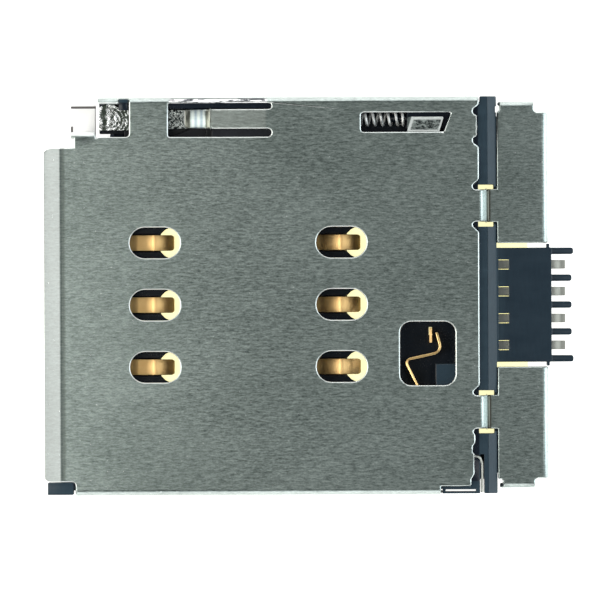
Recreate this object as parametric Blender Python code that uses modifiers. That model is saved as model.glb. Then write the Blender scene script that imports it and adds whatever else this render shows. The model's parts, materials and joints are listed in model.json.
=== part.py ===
"""Push-push micro SIM card socket: a folded steel shell over a black moulded base.

Metres, +Z up. The circuit board is the plane z = 0 and the card is pushed in along +X. The origin
is the middle of the bounding box, on the board. The slider is drawn at rest, nearest the mouth.
"""

import math

import bmesh
import bpy
from mathutils import Matrix

MM = 0.001
COLLECTION = "sim_card_socket"
ARC_STEPS = 6  # straight segments for each radian of an arc of 1 mm radius
ROUND_STEPS = 20  # straight segments in each full circle
THROUGH = 3.0 * MM  # how far a cutter runs past the faces that it opens

# Clearances
TRIM = 0.01 * MM  # how far a cutter goes past a face that it would otherwise only touch
FIT_GAP = 0.02 * MM  # between pieces that are fixed to each other
RUN_GAP = 0.03 * MM  # between pieces that slide or turn
CARD_PLAY = 0.05 * MM

# The card and its contact grid
CARD_WIDTH = 12.0 * MM
CARD_END_TO_COLUMN = 2.65 * MM  # the card's leading edge to its first column of contacts
COLUMN_PITCH = 7.62 * MM
ROW_PITCH = 2.54 * MM
FRONT_COLUMN_SETBACK = 4.60 * MM  # from the mouth

# Lengths along X, from the mouth to the ends of the comb's fingers
SHELL_LENGTH = 17.85 * MM
END_WALL_DEPTH = 0.72 * MM
COMB_DEPTH = 2.24 * MM
COMB_FINGER_LENGTH = 0.90 * MM
SHELL_WIDTH = 16.26 * MM

# Heights above the board
FLOOR_TOP = 0.40 * MM
SHELL_TOP = 1.45 * MM
REAR_PLATE_TOP = 1.00 * MM
COMB_TOP = 0.78 * MM

# The steel sheet
SHEET = 0.20 * MM
FOLD_RADIUS = 0.25 * MM  # outer radius of a down fold
LIP_LENGTH = 0.76 * MM
LIP_RISE = 0.14 * MM
LIP_BEND_RADIUS = 0.60 * MM
SOLDER_TAB_DROP = 0.12 * MM  # how far the side walls stop above the board, apart from the tabs
SOLDER_TAB_LENGTH = 1.60 * MM
WINDOW_LENGTH = 2.05 * MM
WINDOW_WIDTH = 1.26 * MM
SWITCH_WINDOW_LENGTH = 2.26 * MM
SWITCH_WINDOW_WIDTH = 2.60 * MM
SWITCH_WINDOW_RADIUS = 0.45 * MM
STEP_LENGTH = 0.28 * MM  # of the slope of a bridge, seen from above
STEP_START = 0.11 * MM  # from the top plate's rear edge to the slope
STEP_RADIUS = 0.18 * MM
REAR_PLATE_DEPTH = 2.10 * MM  # from the end wall to the outside of the rear flange
REAR_LIP_DROP = 0.55 * MM  # height of the rear plates' end lips

# The spring finger and the tongue lanced from the top plate
FINGER_WIDTH = 0.80 * MM
FINGER_DROP = 0.20 * MM
FINGER_TIP_LENGTH = 0.26 * MM
FINGER_SLOPE_LENGTH = 0.62 * MM
SLOT_TO_TRAPEZOID = 7.88 * MM  # from the finger's slot to the spring's opening
LANE_STEPS = (0.95 * MM, 0.96 * MM, 1.12 * MM)  # from a contact's row to its lead's lane
FINGER_SLOT_LENGTH = 4.23 * MM
FINGER_SLOT_WIDTH = 1.38 * MM
TONGUE_GAP = 0.19 * MM  # clear slot along the tongue's free edges
TONGUE_DROP_DEG = 9.0

# The push-push mechanism
TRAVEL = 2.60 * MM
LOCK_RETURN = 0.60 * MM  # how far the slider springs back from full travel to its locked place
LOWER_WALL = 0.24 * MM
UPPER_WALL = 0.24 * MM
RAIL_THICKNESS = 0.20 * MM
PIVOT_SETBACK = 2.77 * MM  # from the mouth to the crank's pivot
CRANK_REACH = 3.75 * MM  # pivot to follower
CRANK_SWING = math.radians(17.0)
CRANK_THICKNESS = 0.20 * MM
CRANK_WIDTH = 0.80 * MM
CRANK_EYE_RADIUS = 0.64 * MM
CRANK_EYE_SETBACK = 0.46 * MM  # from the pivot to the eye's straight sides
PIVOT_POST_RADIUS = 0.34 * MM
PIVOT_PIN_RADIUS = 0.16 * MM
FOLLOWER_RADIUS = 0.15 * MM
TRACK_CLEARANCE = 0.04 * MM
TRACK_DEPTH = 0.28 * MM
ISLAND_EDGE = 0.047 * MM  # the least width of the island between the two lanes
TOE_THICKNESS = 0.89 * MM
TOE_REACH = 1.24 * MM  # how far the slider's toe reaches into the card bay
TOE_RELIEF = 0.08 * MM  # how far the toe is set back beyond the card's edge
SLIDER_BODY_LENGTH = 6.80 * MM
SPRING_DIAMETER = 0.70 * MM
SPRING_WIRE = 0.11 * MM
SPRING_TURNS = 16
SPRING_POINTS_PER_TURN = 10
SPRING_LENGTH = 4.75 * MM  # at rest
SPRING_PEG_DIAMETER = 0.34 * MM
SPRING_PEG_LENGTH = 0.70 * MM

# The contacts and the card detect switch
CONTACT_WIDTH = 0.64 * MM
STRIP = 0.12 * MM
LEAD_WIDTH = 0.26 * MM
LEAD_MIDDLE = 0.20 * MM  # height of the middle of the leads in the floor
CREST_HEIGHT = 0.80 * MM
CONTACT_HOLE_RADIUS = 0.65 * MM
CONTACT_TIP_RADIUS = 0.14 * MM  # of the tip's corners seen from above
CONTACT_HOLE_OFFSET = 0.78 * MM  # from the crest to the hole's middle
TAIL_WIDTH = 0.36 * MM
TAIL_PITCH = 1.10 * MM
TAIL_LENGTH = 0.58 * MM
LEAD_WINDOW = (0.44 * MM, 0.40 * MM)
SWITCH_STRIP = 0.10 * MM
SWITCH_HEIGHT = 1.10 * MM
BLADE_LENGTH = 0.61 * MM

# The base
BASE_FRONT_SETBACK = 0.70 * MM
COMB_FINGER_WIDTH = 0.27 * MM
COMB_FINGER_TOP = 0.55 * MM
COMB_FINGER_RADIUS = 0.09 * MM  # of a fingertip's corners, seen from above
COMB_OFFSET = 1.22 * MM  # from the card's middle line to the comb's
LATCH_LENGTH = 1.10 * MM
LATCH_LOW = 0.50 * MM
LATCH_HIGH = 0.85 * MM
LATCH_REACH = 0.15 * MM

# Places worked out from the sizes above
MOUTH_X = -(SHELL_LENGTH + END_WALL_DEPTH + COMB_DEPTH + COMB_FINGER_LENGTH) / 2
REAR_EDGE_X = MOUTH_X + SHELL_LENGTH
END_WALL_X = REAR_EDGE_X + END_WALL_DEPTH
COMB_X = END_WALL_X + COMB_DEPTH
SIDE_Y = SHELL_WIDTH / 2
BASE_SIDE_Y = SIDE_Y - SHEET - FIT_GAP
PLATE_UNDERSIDE = SHELL_TOP - SHEET
BASE_TOP = PLATE_UNDERSIDE - FIT_GAP

CARD_LOW_Y = -BASE_SIDE_Y + LOWER_WALL + CARD_PLAY
CARD_HIGH_Y = CARD_LOW_Y + CARD_WIDTH
CARD_MIDDLE_Y = (CARD_LOW_Y + CARD_HIGH_Y) / 2
COMB_MIDDLE_Y = CARD_MIDDLE_Y + COMB_OFFSET
ROWS_Y = [CARD_MIDDLE_Y + (1.5 - row) * ROW_PITCH for row in range(3)]
FRONT_COLUMN_X = MOUTH_X + FRONT_COLUMN_SETBACK
REAR_COLUMN_X = FRONT_COLUMN_X + COLUMN_PITCH
CARD_SEAT_X = REAR_COLUMN_X + CARD_END_TO_COLUMN

RAIL_LOW_Y = CARD_HIGH_Y + CARD_PLAY
BAY_LOW_Y = RAIL_LOW_Y + RAIL_THICKNESS
BAY_HIGH_Y = BASE_SIDE_Y - UPPER_WALL
CAM_Y = BAY_HIGH_Y - RUN_GAP - CRANK_WIDTH / 2
PIVOT_X = MOUTH_X + PIVOT_SETBACK
FOLLOWER_X = PIVOT_X + CRANK_REACH
CRANK_TOP = PLATE_UNDERSIDE - FINGER_DROP - FIT_GAP
CRANK_UNDERSIDE = CRANK_TOP - CRANK_THICKNESS
CAM_DECK_TOP = CRANK_UNDERSIDE - RUN_GAP
SLIDER_BOTTOM = FLOOR_TOP + RUN_GAP
SLIDER_TOP = PLATE_UNDERSIDE - RUN_GAP
TRACK_HALF = FOLLOWER_RADIUS + TRACK_CLEARANCE
TOE_FACE_X = CARD_SEAT_X - (TRAVEL - LOCK_RETURN)
SLIDER_REAR_X = TOE_FACE_X + TOE_THICKNESS
BAY_REAR_X = SLIDER_REAR_X + TRAVEL + CARD_PLAY
SLIDER_FRONT_X = PIVOT_X + 0.60 * MM
SPRING_FACE_X = SLIDER_FRONT_X + SLIDER_BODY_LENGTH
SPRING_SEAT_X = SPRING_FACE_X + SPRING_LENGTH
SPRING_Y = CAM_Y
SPRING_Z = FLOOR_TOP + CARD_PLAY + SPRING_DIAMETER / 2

TAILS_Y = [COMB_MIDDLE_Y + (1.5 - lead) * TAIL_PITCH for lead in range(4)]
LEAD_TOP = LEAD_MIDDLE + STRIP / 2


def steel_material():
    return principled("shell_steel", (0.42, 0.44, 0.42), 0.38, 1.0)


def principled(name, colour, roughness, metallic):
    """The material of that name, made the first time."""
    material = bpy.data.materials.get(name)
    if material is None:
        material = bpy.data.materials.new(name)
        material.use_nodes = True
        shader = material.node_tree.nodes["Principled BSDF"]
        shader.inputs["Base Color"].default_value = (*colour, 1.0)
        shader.inputs["Roughness"].default_value = roughness
        shader.inputs["Metallic"].default_value = metallic
    return material


def collection(name, parent):
    made = bpy.data.collections.new(name)
    parent.children.link(made)
    return made


def put(name, mesh, group, material=None, location=(0, 0, 0)):
    """An object for a mesh, in one collection; a helper has no material and isn't rendered."""
    made = bpy.data.objects.new(name, mesh)
    made.location = location
    group.objects.link(made)
    if material is None:
        made.hide_render = True
        made.display_type = "WIRE"
    else:
        mesh.materials.append(material)
    return made


def arc(centre, radius, start, end, steps):
    """Points along an arc, its ends included, from one angle to another in radians."""
    return [
        (
            centre[0] + radius * math.cos(start + (end - start) * step / steps),
            centre[1] + radius * math.sin(start + (end - start) * step / steps),
        )
        for step in range(steps + 1)
    ]


def arc_steps(radius, sweep):
    """Enough segments for a curve of this radius to look round, and no more."""
    return max(2, round(ARC_STEPS * abs(sweep) * math.sqrt(radius / MM)))


def rounded(corners, closed=True):
    """An outline from (x, y) or (x, y, radius) corners, each radius made an arc."""
    points = []
    count = len(corners)
    for index, corner in enumerate(corners):
        radius = corner[2] if len(corner) > 2 else 0.0
        if radius <= 0 or (not closed and index in (0, count - 1)):
            points.append((corner[0], corner[1]))
            continue
        before, after = corners[index - 1], corners[(index + 1) % count]
        into = math.atan2(before[1] - corner[1], before[0] - corner[0])
        out = math.atan2(after[1] - corner[1], after[0] - corner[0])
        half = ((out - into + math.pi) % (2 * math.pi) - math.pi) / 2
        reach = radius / abs(math.sin(half))
        centre = (
            corner[0] + reach * math.cos(into + half),
            corner[1] + reach * math.sin(into + half),
        )
        turn = math.copysign(math.pi / 2, half)
        start = into - turn
        end = out + turn
        sweep = (end - start + math.pi) % (2 * math.pi) - math.pi
        points += arc(centre, radius, start, start + sweep, arc_steps(radius, sweep))
    return points


def box_outline(low_x, high_x, low_y, high_y, radius=0.0):
    return rounded(
        [
            (low_x, low_y, radius),
            (high_x, low_y, radius),
            (high_x, high_y, radius),
            (low_x, high_y, radius),
        ]
    )


def ribbon(points, width):
    """The outline of a strip of constant width along a line of points, with mitred corners."""
    left, right = [], []
    for index, (x, y) in enumerate(points):
        before = points[max(index - 1, 0)]
        after = points[min(index + 1, len(points) - 1)]
        arrive = math.atan2(y - before[1], x - before[0]) if index else None
        leave = math.atan2(after[1] - y, after[0] - x) if index < len(points) - 1 else arrive
        arrive = leave if arrive is None else arrive
        half_turn = ((leave - arrive + math.pi) % (2 * math.pi) - math.pi) / 2
        normal = arrive + half_turn + math.pi / 2
        reach = width / 2 / math.cos(half_turn)
        left.append((x + reach * math.cos(normal), y + reach * math.sin(normal)))
        right.append((x - reach * math.cos(normal), y - reach * math.sin(normal)))
    return left + right[::-1]


def evaluated_mesh(drawn, transform):
    """The mesh that a curve object makes, welded, with its outside facing out."""
    bpy.context.scene.collection.objects.link(drawn)
    graph = bpy.context.evaluated_depsgraph_get()
    mesh = bpy.data.meshes.new_from_object(drawn.evaluated_get(graph))
    curve = drawn.data
    bpy.data.objects.remove(drawn)
    bpy.data.curves.remove(curve)
    shape = bmesh.new()
    shape.from_mesh(mesh)
    bmesh.ops.remove_doubles(shape, verts=shape.verts, dist=1e-4)
    bmesh.ops.recalc_face_normals(shape, faces=shape.faces)
    shape.transform(transform)
    shape.to_mesh(mesh)
    shape.free()
    return mesh


# An outline's plane lies across this axis; each matrix turns (a, b, depth) into (x, y, z)
ACROSS = {
    "Z": Matrix.Identity(4),
    "Y": Matrix(((1, 0, 0, 0), (0, 0, -1, 0), (0, 1, 0, 0), (0, 0, 0, 1))),
    "X": Matrix(((0, 0, 1, 0), (1, 0, 0, 0), (0, 1, 0, 0), (0, 0, 0, 1))),
}


def prism(name, loops, low, high, across="Z"):
    """A solid between two parallel planes. The curve is drawn in millimetres, because Blender's
    fill joins points nearer than 0.03 of its units, and made metres afterwards."""
    curve = bpy.data.curves.new(name, "CURVE")
    curve.dimensions = "2D"
    curve.fill_mode = "BOTH"
    curve.extrude = (high - low) / 2 / MM
    for loop in loops:
        spline = curve.splines.new("POLY")
        spline.points.add(len(loop) - 1)
        for point, (a, b) in zip(spline.points, loop):
            point.co = (a / MM, b / MM, 0, 1)
        spline.use_cyclic_u = True
    middle = (low + high) / 2
    shift = {"Z": (0, 0, middle), "Y": (0, middle, 0), "X": (middle, 0, 0)}[across]
    transform = Matrix.Translation(shift) @ ACROSS[across] @ Matrix.Scale(MM, 4)
    mesh = evaluated_mesh(bpy.data.objects.new(name, curve), transform)
    mesh.name = name
    mesh.shade_flat()
    return mesh


def box(name, x, y, z):
    """A box between three pairs of limits, from a cube primitive."""
    shape = bmesh.new()
    bmesh.ops.create_cube(shape, size=1.0)
    sides = [limits[1] - limits[0] for limits in (x, y, z)]
    middle = [(limits[0] + limits[1]) / 2 for limits in (x, y, z)]
    shape.transform(Matrix.Translation(middle) @ Matrix.Diagonal((*sides, 1.0)))
    mesh = bpy.data.meshes.new(name)
    shape.to_mesh(mesh)
    shape.free()
    return mesh


def cylinder(name, centre, radius, low, high, along="Z"):
    """A closed cylinder between two planes, along Z or X, at centre in the other two axes."""
    shape = bmesh.new()
    bmesh.ops.create_cone(
        shape,
        cap_ends=True,
        segments=ROUND_STEPS,
        radius1=radius,
        radius2=radius,
        depth=high - low,
    )
    middle = (low + high) / 2
    if along == "X":
        shape.transform(ACROSS["X"])
        shape.transform(Matrix.Translation((middle, *centre)))
    else:
        shape.transform(Matrix.Translation((*centre, middle)))
    mesh = bpy.data.meshes.new(name)
    shape.to_mesh(mesh)
    shape.free()
    return mesh


def combine(target, operation, group):
    """Joins or cuts a target with every helper in a collection."""
    step = target.modifiers.new(group.name, "BOOLEAN")
    step.operand_type = "COLLECTION"
    step.collection = group
    step.operation = operation
    step.solver = "EXACT"


def smooth(mesh, degrees=40):
    mesh.shade_smooth()
    mesh.set_sharp_from_angle(angle=math.radians(degrees))


# The folded shell


def fold_down(start, level, depth, flat_points=5):
    """Points along a surface that runs flat to start, folds down and stops depth below level."""
    points = rounded(
        [
            (start - FOLD_RADIUS, level),
            (start, level, FOLD_RADIUS),
            (start, level - depth),
        ],
        closed=False,
    )[1:]
    last = points.pop()
    top = points[-1][1]
    for step in range(1, flat_points + 1):
        points.append((start, top + (last[1] - top) * step / flat_points))
    return points


LIP_END_X = MOUTH_X + LIP_LENGTH
STRIP_END_X = MOUTH_X + 1.16 * MM  # where the narrow front strip of the top plate ends
PLATE_START_X = MOUTH_X + 1.32 * MM
FOOT_END_X = MOUTH_X + 2.20 * MM
RELIEF_END_X = FOOT_END_X + 0.08 * MM
PIVOT_OPENING_X = MOUTH_X + 3.57 * MM
SKIRT_END_X = REAR_EDGE_X - 1.57 * MM  # where the lower side wall ends
REAR_PLATE_X = END_WALL_X + FIT_GAP
REAR_LIP_START_X = REAR_PLATE_X + 0.08 * MM
REAR_LIP_END_X = REAR_PLATE_X + 1.55 * MM
REAR_FLANGE_X = END_WALL_X + REAR_PLATE_DEPTH

LIP_LOW_Y = -SIDE_Y + 0.56 * MM
BLANK_LOW_Y = LIP_LOW_Y - 0.04 * MM  # trimmed to the line above by the mouth corner's notch
LIP_HIGH_Y = SIDE_Y - 2.05 * MM
FOOT_FOLD_Y = SIDE_Y - 1.66 * MM
PLATE_EDGE_Y = SIDE_Y - 1.61 * MM
FOOT_REACH = 1.40 * MM  # from the fold's start to the foot's end
REAR_HIGH_Y = SIDE_Y - 0.21 * MM  # outsides of the rear plates' end lips
REAR_LOW_Y = -SIDE_Y + 0.25 * MM
REAR_GAP = 0.19 * MM  # between a rear plate and the comb
COMB_HALF = 2 * TAIL_PITCH + COMB_FINGER_WIDTH / 2
UPPER_PLATE_Y = COMB_MIDDLE_Y + COMB_HALF + REAR_GAP
LOWER_PLATE_Y = COMB_MIDDLE_Y - COMB_HALF - REAR_GAP
LOWER_BRIDGE = (5.06 * MM, 3.68 * MM)  # from the comb's middle line to the bridge's sides
UPPER_BRIDGE = (3.39 * MM, 4.73 * MM)
BRIDGES_Y = [
    [COMB_MIDDLE_Y - side for side in LOWER_BRIDGE],
    [COMB_MIDDLE_Y + side for side in UPPER_BRIDGE],
]
BRIDGE_GAP = 0.19 * MM  # clear slot in the base on each side of a bridge
BULB_RADIUS = 0.13 * MM  # of the nicks in the top plate's rear edge


def shell_columns():
    """(x, z) of the shell's top surface along X: lip, top plate, step, rear plate, rear flange."""
    tilt = math.atan2(LIP_RISE, LIP_LENGTH)
    lip = rounded(
        [
            (MOUTH_X + SHEET * math.sin(tilt), SHELL_TOP + LIP_RISE),
            (LIP_END_X, SHELL_TOP, LIP_BEND_RADIUS),
            (REAR_EDGE_X, SHELL_TOP),
        ],
        closed=False,
    )[:-1]
    plate = [
        (x, SHELL_TOP)
        for x in (
            STRIP_END_X,
            PLATE_START_X,
            FOOT_END_X,
            RELIEF_END_X,
            SKIRT_END_X,
            REAR_EDGE_X,
        )
    ]
    step_x = REAR_EDGE_X + STEP_START
    step = rounded(
        [
            (REAR_EDGE_X, SHELL_TOP),
            (step_x, SHELL_TOP, STEP_RADIUS),
            (step_x + STEP_LENGTH, REAR_PLATE_TOP, STEP_RADIUS / 3),
            (REAR_PLATE_X, REAR_PLATE_TOP),
        ],
        closed=False,
    )[1:-1]
    rear = [(x, REAR_PLATE_TOP) for x in (REAR_PLATE_X, REAR_LIP_START_X, REAR_LIP_END_X)]
    flange = fold_down(REAR_FLANGE_X, REAR_PLATE_TOP, REAR_PLATE_TOP, 1)
    return lip + plate + step + rear + flange


def edge_rows(kind):
    """(y, z) of the rows beyond the flat ones on the upper side, for one kind of edge."""
    if kind == "rear":
        return fold_down(REAR_HIGH_Y, 0, REAR_LIP_DROP)
    if kind == "foot":
        foot_top = SHEET - SHELL_TOP
        foot_y = FOOT_FOLD_Y + FOLD_RADIUS
        return rounded(
            [
                (FOOT_FOLD_Y - FOLD_RADIUS, 0),
                (foot_y, 0, FOLD_RADIUS),
                (foot_y, foot_top, FOLD_RADIUS / 3),
                (FOOT_FOLD_Y + FOOT_REACH, foot_top),
            ],
            closed=False,
        )[2:]
    return fold_down(SIDE_Y, 0, SHELL_TOP)


def shell_sheet():
    """The shell as an open sheet: a grid whose rows and columns lie on the folds, with the cells
    that the blank doesn't have left out, and every corner where two folds meet notched."""
    columns = shell_columns()
    flats = [
        BLANK_LOW_Y,
        BRIDGES_Y[0][0],
        BRIDGES_Y[0][1],
        LOWER_PLATE_Y,
        UPPER_PLATE_Y,
        BRIDGES_Y[1][0],
        BRIDGES_Y[1][1],
        LIP_HIGH_Y,
        FOOT_FOLD_Y,
    ]
    upper = {kind: edge_rows(kind) for kind in ("side", "foot", "rear")}
    fold_rows = len(upper["side"])
    first_flat = fold_rows
    first_upper = fold_rows + len(flats)
    row_count = first_upper + fold_rows
    foot_row = first_flat + flats.index(FOOT_FOLD_Y)

    def kind_of(x):
        if x > REAR_EDGE_X + STEP_START / 2:
            return "rear"
        return "foot" if x < (FOOT_END_X + RELIEF_END_X) / 2 else "side"

    def place(column, row):
        x, z = columns[column]
        kind = kind_of(x)
        if row < first_flat:
            lower = "rear" if kind == "rear" else "side"
            y, drop = upper[lower][first_flat - 1 - row]
            shift = -REAR_LOW_Y - REAR_HIGH_Y if kind == "rear" else 0.0
            return x, -(y + shift), z + drop
        if kind == "foot" and row > foot_row:
            y, drop = upper["foot"][min(row - foot_row, len(upper["foot"])) - 1]
            return x, y, z + drop
        if row >= first_upper:
            y, drop = upper[kind][row - first_upper]
            return x, y, z + drop
        return x, flats[row - first_flat], z

    def has_cell(column, row):
        x = (columns[column][0] + columns[column + 1][0]) / 2
        low_fold = row < first_flat - 1
        high_fold = row >= first_upper
        y = None
        if first_flat <= row < first_upper - 1:
            y = (flats[row - first_flat] + flats[row - first_flat + 1]) / 2
        margin_low = row == first_flat - 1
        margin_high = row == first_upper - 1
        if x < STRIP_END_X:
            return y is not None and BLANK_LOW_Y < y < LIP_HIGH_Y
        if x < FOOT_END_X:
            if row > foot_row:
                return row < foot_row + len(upper["foot"])
            if row == foot_row:
                return True
            return x > PLATE_START_X or y is None or y < LIP_HIGH_Y
        if x < RELIEF_END_X:
            return not (high_fold or margin_high) and (y is None or y < FOOT_FOLD_Y)
        if x < SKIRT_END_X:
            return True
        if x < REAR_EDGE_X:
            return not low_fold
        if x < REAR_PLATE_X:
            return y is not None and any(low < y < high for low, high in BRIDGES_Y)
        in_lip = REAR_LIP_START_X < x < REAR_LIP_END_X
        if low_fold or high_fold:
            return in_lip
        if margin_low or margin_high:
            return True
        return y < LOWER_PLATE_Y or y > UPPER_PLATE_Y

    shape = bmesh.new()
    across, along = len(columns) - 1, row_count - 1
    bmesh.ops.create_grid(shape, x_segments=across, y_segments=along, size=1.0)
    spots = {}
    for vert in shape.verts:
        column = round((vert.co.x + 1) / 2 * across)
        row = round((vert.co.y + 1) / 2 * along)
        spots[vert] = (column, row)
    absent = []
    for face in shape.faces:
        column = min(spots[vert][0] for vert in face.verts)
        row = min(spots[vert][1] for vert in face.verts)
        if not has_cell(column, row):
            absent.append(face)
    for vert, (column, row) in spots.items():
        vert.co = place(column, row)
    bmesh.ops.delete(shape, geom=absent, context="FACES")
    mesh = bpy.data.meshes.new("shell")
    shape.to_mesh(mesh)
    shape.free()
    return mesh


def cut_through_plate(name, outline, group):
    """A cutter straight down through the top plate and the rear plates, clear of the feet."""
    put(name, prism(name, [outline], REAR_PLATE_TOP - 2 * SHEET, THROUGH), group)


def corner_cutter(name, x, y, radius, toward_x, toward_y, group, low=SHELL_TOP - SHEET * 2):
    """Rounds one plan corner of a strip. toward_x and toward_y point out of the strip."""
    past = 0.2 * MM
    centre = (x - toward_x * radius, y - toward_y * radius)
    start = math.atan2(0, toward_x)
    sweep = toward_x * toward_y * math.pi / 2
    round_side = arc(centre, radius, start, start + sweep, arc_steps(radius, sweep))
    outline = (
        [(x + toward_x * past, y - toward_y * radius)]
        + round_side
        + [(x - toward_x * radius, y + toward_y * past), (x + toward_x * past, y + toward_y * past)]
    )
    put(name, prism(name, [outline], low, THROUGH), group)


FINGER_Y = CAM_Y
FINGER_TIP_X = FOLLOWER_X - 0.70 * MM
FINGER_SLOT_X = FINGER_TIP_X - 0.66 * MM
FINGER_ROOT_X = FINGER_TIP_X + FINGER_TIP_LENGTH + FINGER_SLOPE_LENGTH + 0.20 * MM
FINGER_SLOT_LOW_Y = FINGER_Y - 0.73 * MM
TRAPEZOID_X = FINGER_SLOT_X + SLOT_TO_TRAPEZOID
TRAPEZOID_LENGTH = 3.70 * MM
TRAPEZOID_SLANT = 0.31 * MM
TRAPEZOID_LOW_Y = FINGER_Y - 0.56 * MM
TRAPEZOID_HIGH_Y = FINGER_Y + 0.24 * MM
TONGUE_X = SPRING_SEAT_X + FIT_GAP
SWITCH_WINDOW_X = CARD_SEAT_X + 0.86 * MM
SWITCH_WINDOW_Y = ROWS_Y[2] + 0.52 * MM
LATCHES_UPPER_X = [-0.30 * MM, 4.90 * MM]
LATCHES_LOWER_X = [-7.60 * MM, -2.20 * MM, 3.20 * MM]
TABS_UPPER_X = [-5.00 * MM, 2.30 * MM]
TABS_LOWER_X = [-5.00 * MM, 0.50 * MM]


def shell_cutters(group):
    for column, x in (("front", FRONT_COLUMN_X), ("rear", REAR_COLUMN_X)):
        for row, y in enumerate(ROWS_Y, 1):
            half_length, half_width = WINDOW_LENGTH / 2, WINDOW_WIDTH / 2
            outline = rounded(
                [
                    (x - half_length, y - half_width, half_width * 0.97),
                    (x + half_length, y - half_width, half_width * 0.97),
                    (x + half_length, y + half_width, half_width * 0.97),
                    (x - half_length, y + half_width, half_width * 0.97),
                ]
            )
            cut_through_plate(f"contact_window_{column}_{row}", outline, group)
    cut_through_plate(
        "switch_window",
        box_outline(
            SWITCH_WINDOW_X - SWITCH_WINDOW_LENGTH / 2,
            SWITCH_WINDOW_X + SWITCH_WINDOW_LENGTH / 2,
            SWITCH_WINDOW_Y - SWITCH_WINDOW_WIDTH / 2,
            SWITCH_WINDOW_Y + SWITCH_WINDOW_WIDTH / 2,
            SWITCH_WINDOW_RADIUS,
        ),
        group,
    )
    slot_end = FINGER_SLOT_X + FINGER_SLOT_LENGTH
    slot_high = FINGER_SLOT_LOW_Y + FINGER_SLOT_WIDTH
    finger_low, finger_high = FINGER_Y - FINGER_WIDTH / 2, FINGER_Y + FINGER_WIDTH / 2
    low_end = (finger_low - FINGER_SLOT_LOW_Y) * 0.49
    high_end = (slot_high - finger_high) * 0.49
    cut_through_plate(
        "finger_slot",
        rounded(
            [
                (FINGER_SLOT_X, FINGER_SLOT_LOW_Y, 0.08 * MM),
                (slot_end, FINGER_SLOT_LOW_Y, low_end),
                (slot_end, finger_low, low_end),
                (FINGER_ROOT_X, finger_low),
                (FINGER_ROOT_X, finger_high),
                (slot_end, finger_high, high_end),
                (slot_end, slot_high, high_end),
                (FINGER_SLOT_X, slot_high),
            ]
        ),
        group,
    )
    cut_through_plate(
        "trapezoid_opening",
        rounded(
            [
                (TRAPEZOID_X, TRAPEZOID_LOW_Y, 0.12 * MM),
                (TRAPEZOID_X + TRAPEZOID_LENGTH - TRAPEZOID_SLANT, TRAPEZOID_LOW_Y, 0.08 * MM),
                (TRAPEZOID_X + TRAPEZOID_LENGTH, TRAPEZOID_HIGH_Y, 0.06 * MM),
                (TRAPEZOID_X, TRAPEZOID_HIGH_Y, 0.12 * MM),
            ]
        ),
        group,
    )
    beyond = (FOOT_END_X + RELIEF_END_X) / 2
    guard_x = GUARD_X[0] - FIT_GAP
    fold_y = SIDE_Y - FOLD_RADIUS - 0.01 * MM
    outline = rounded(
        [
            (beyond, PLATE_EDGE_Y),
            (PIVOT_OPENING_X, PLATE_EDGE_Y, 0.14 * MM),
            (PIVOT_OPENING_X, SIDE_Y + MM),
            (guard_x, SIDE_Y + MM),
            (guard_x, fold_y),
            (beyond, fold_y),
        ]
    )
    put("pivot_opening", prism("pivot_opening", [outline], GUARD_LOW, THROUGH), group)
    outline = rounded(
        [
            (MOUTH_X - MM, LIP_LOW_Y),
            (PLATE_START_X + TRIM, LIP_LOW_Y, 0.14 * MM),
            (PLATE_START_X + TRIM, -SIDE_Y - MM),
            (MOUTH_X - MM, -SIDE_Y - MM),
        ]
    )
    put("mouth_corner", prism("mouth_corner", [outline], -THROUGH, THROUGH), group)
    corner_cutter("lip_upper_corner", MOUTH_X, LIP_HIGH_Y, 0.37 * MM, -1, 1, group)
    corner_cutter("lip_lower_corner", MOUTH_X, LIP_LOW_Y, 0.34 * MM, -1, -1, group)
    rear_edge_cutters(group)
    rear_plate_cutters(group)
    side_wall_cutters(group)


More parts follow.
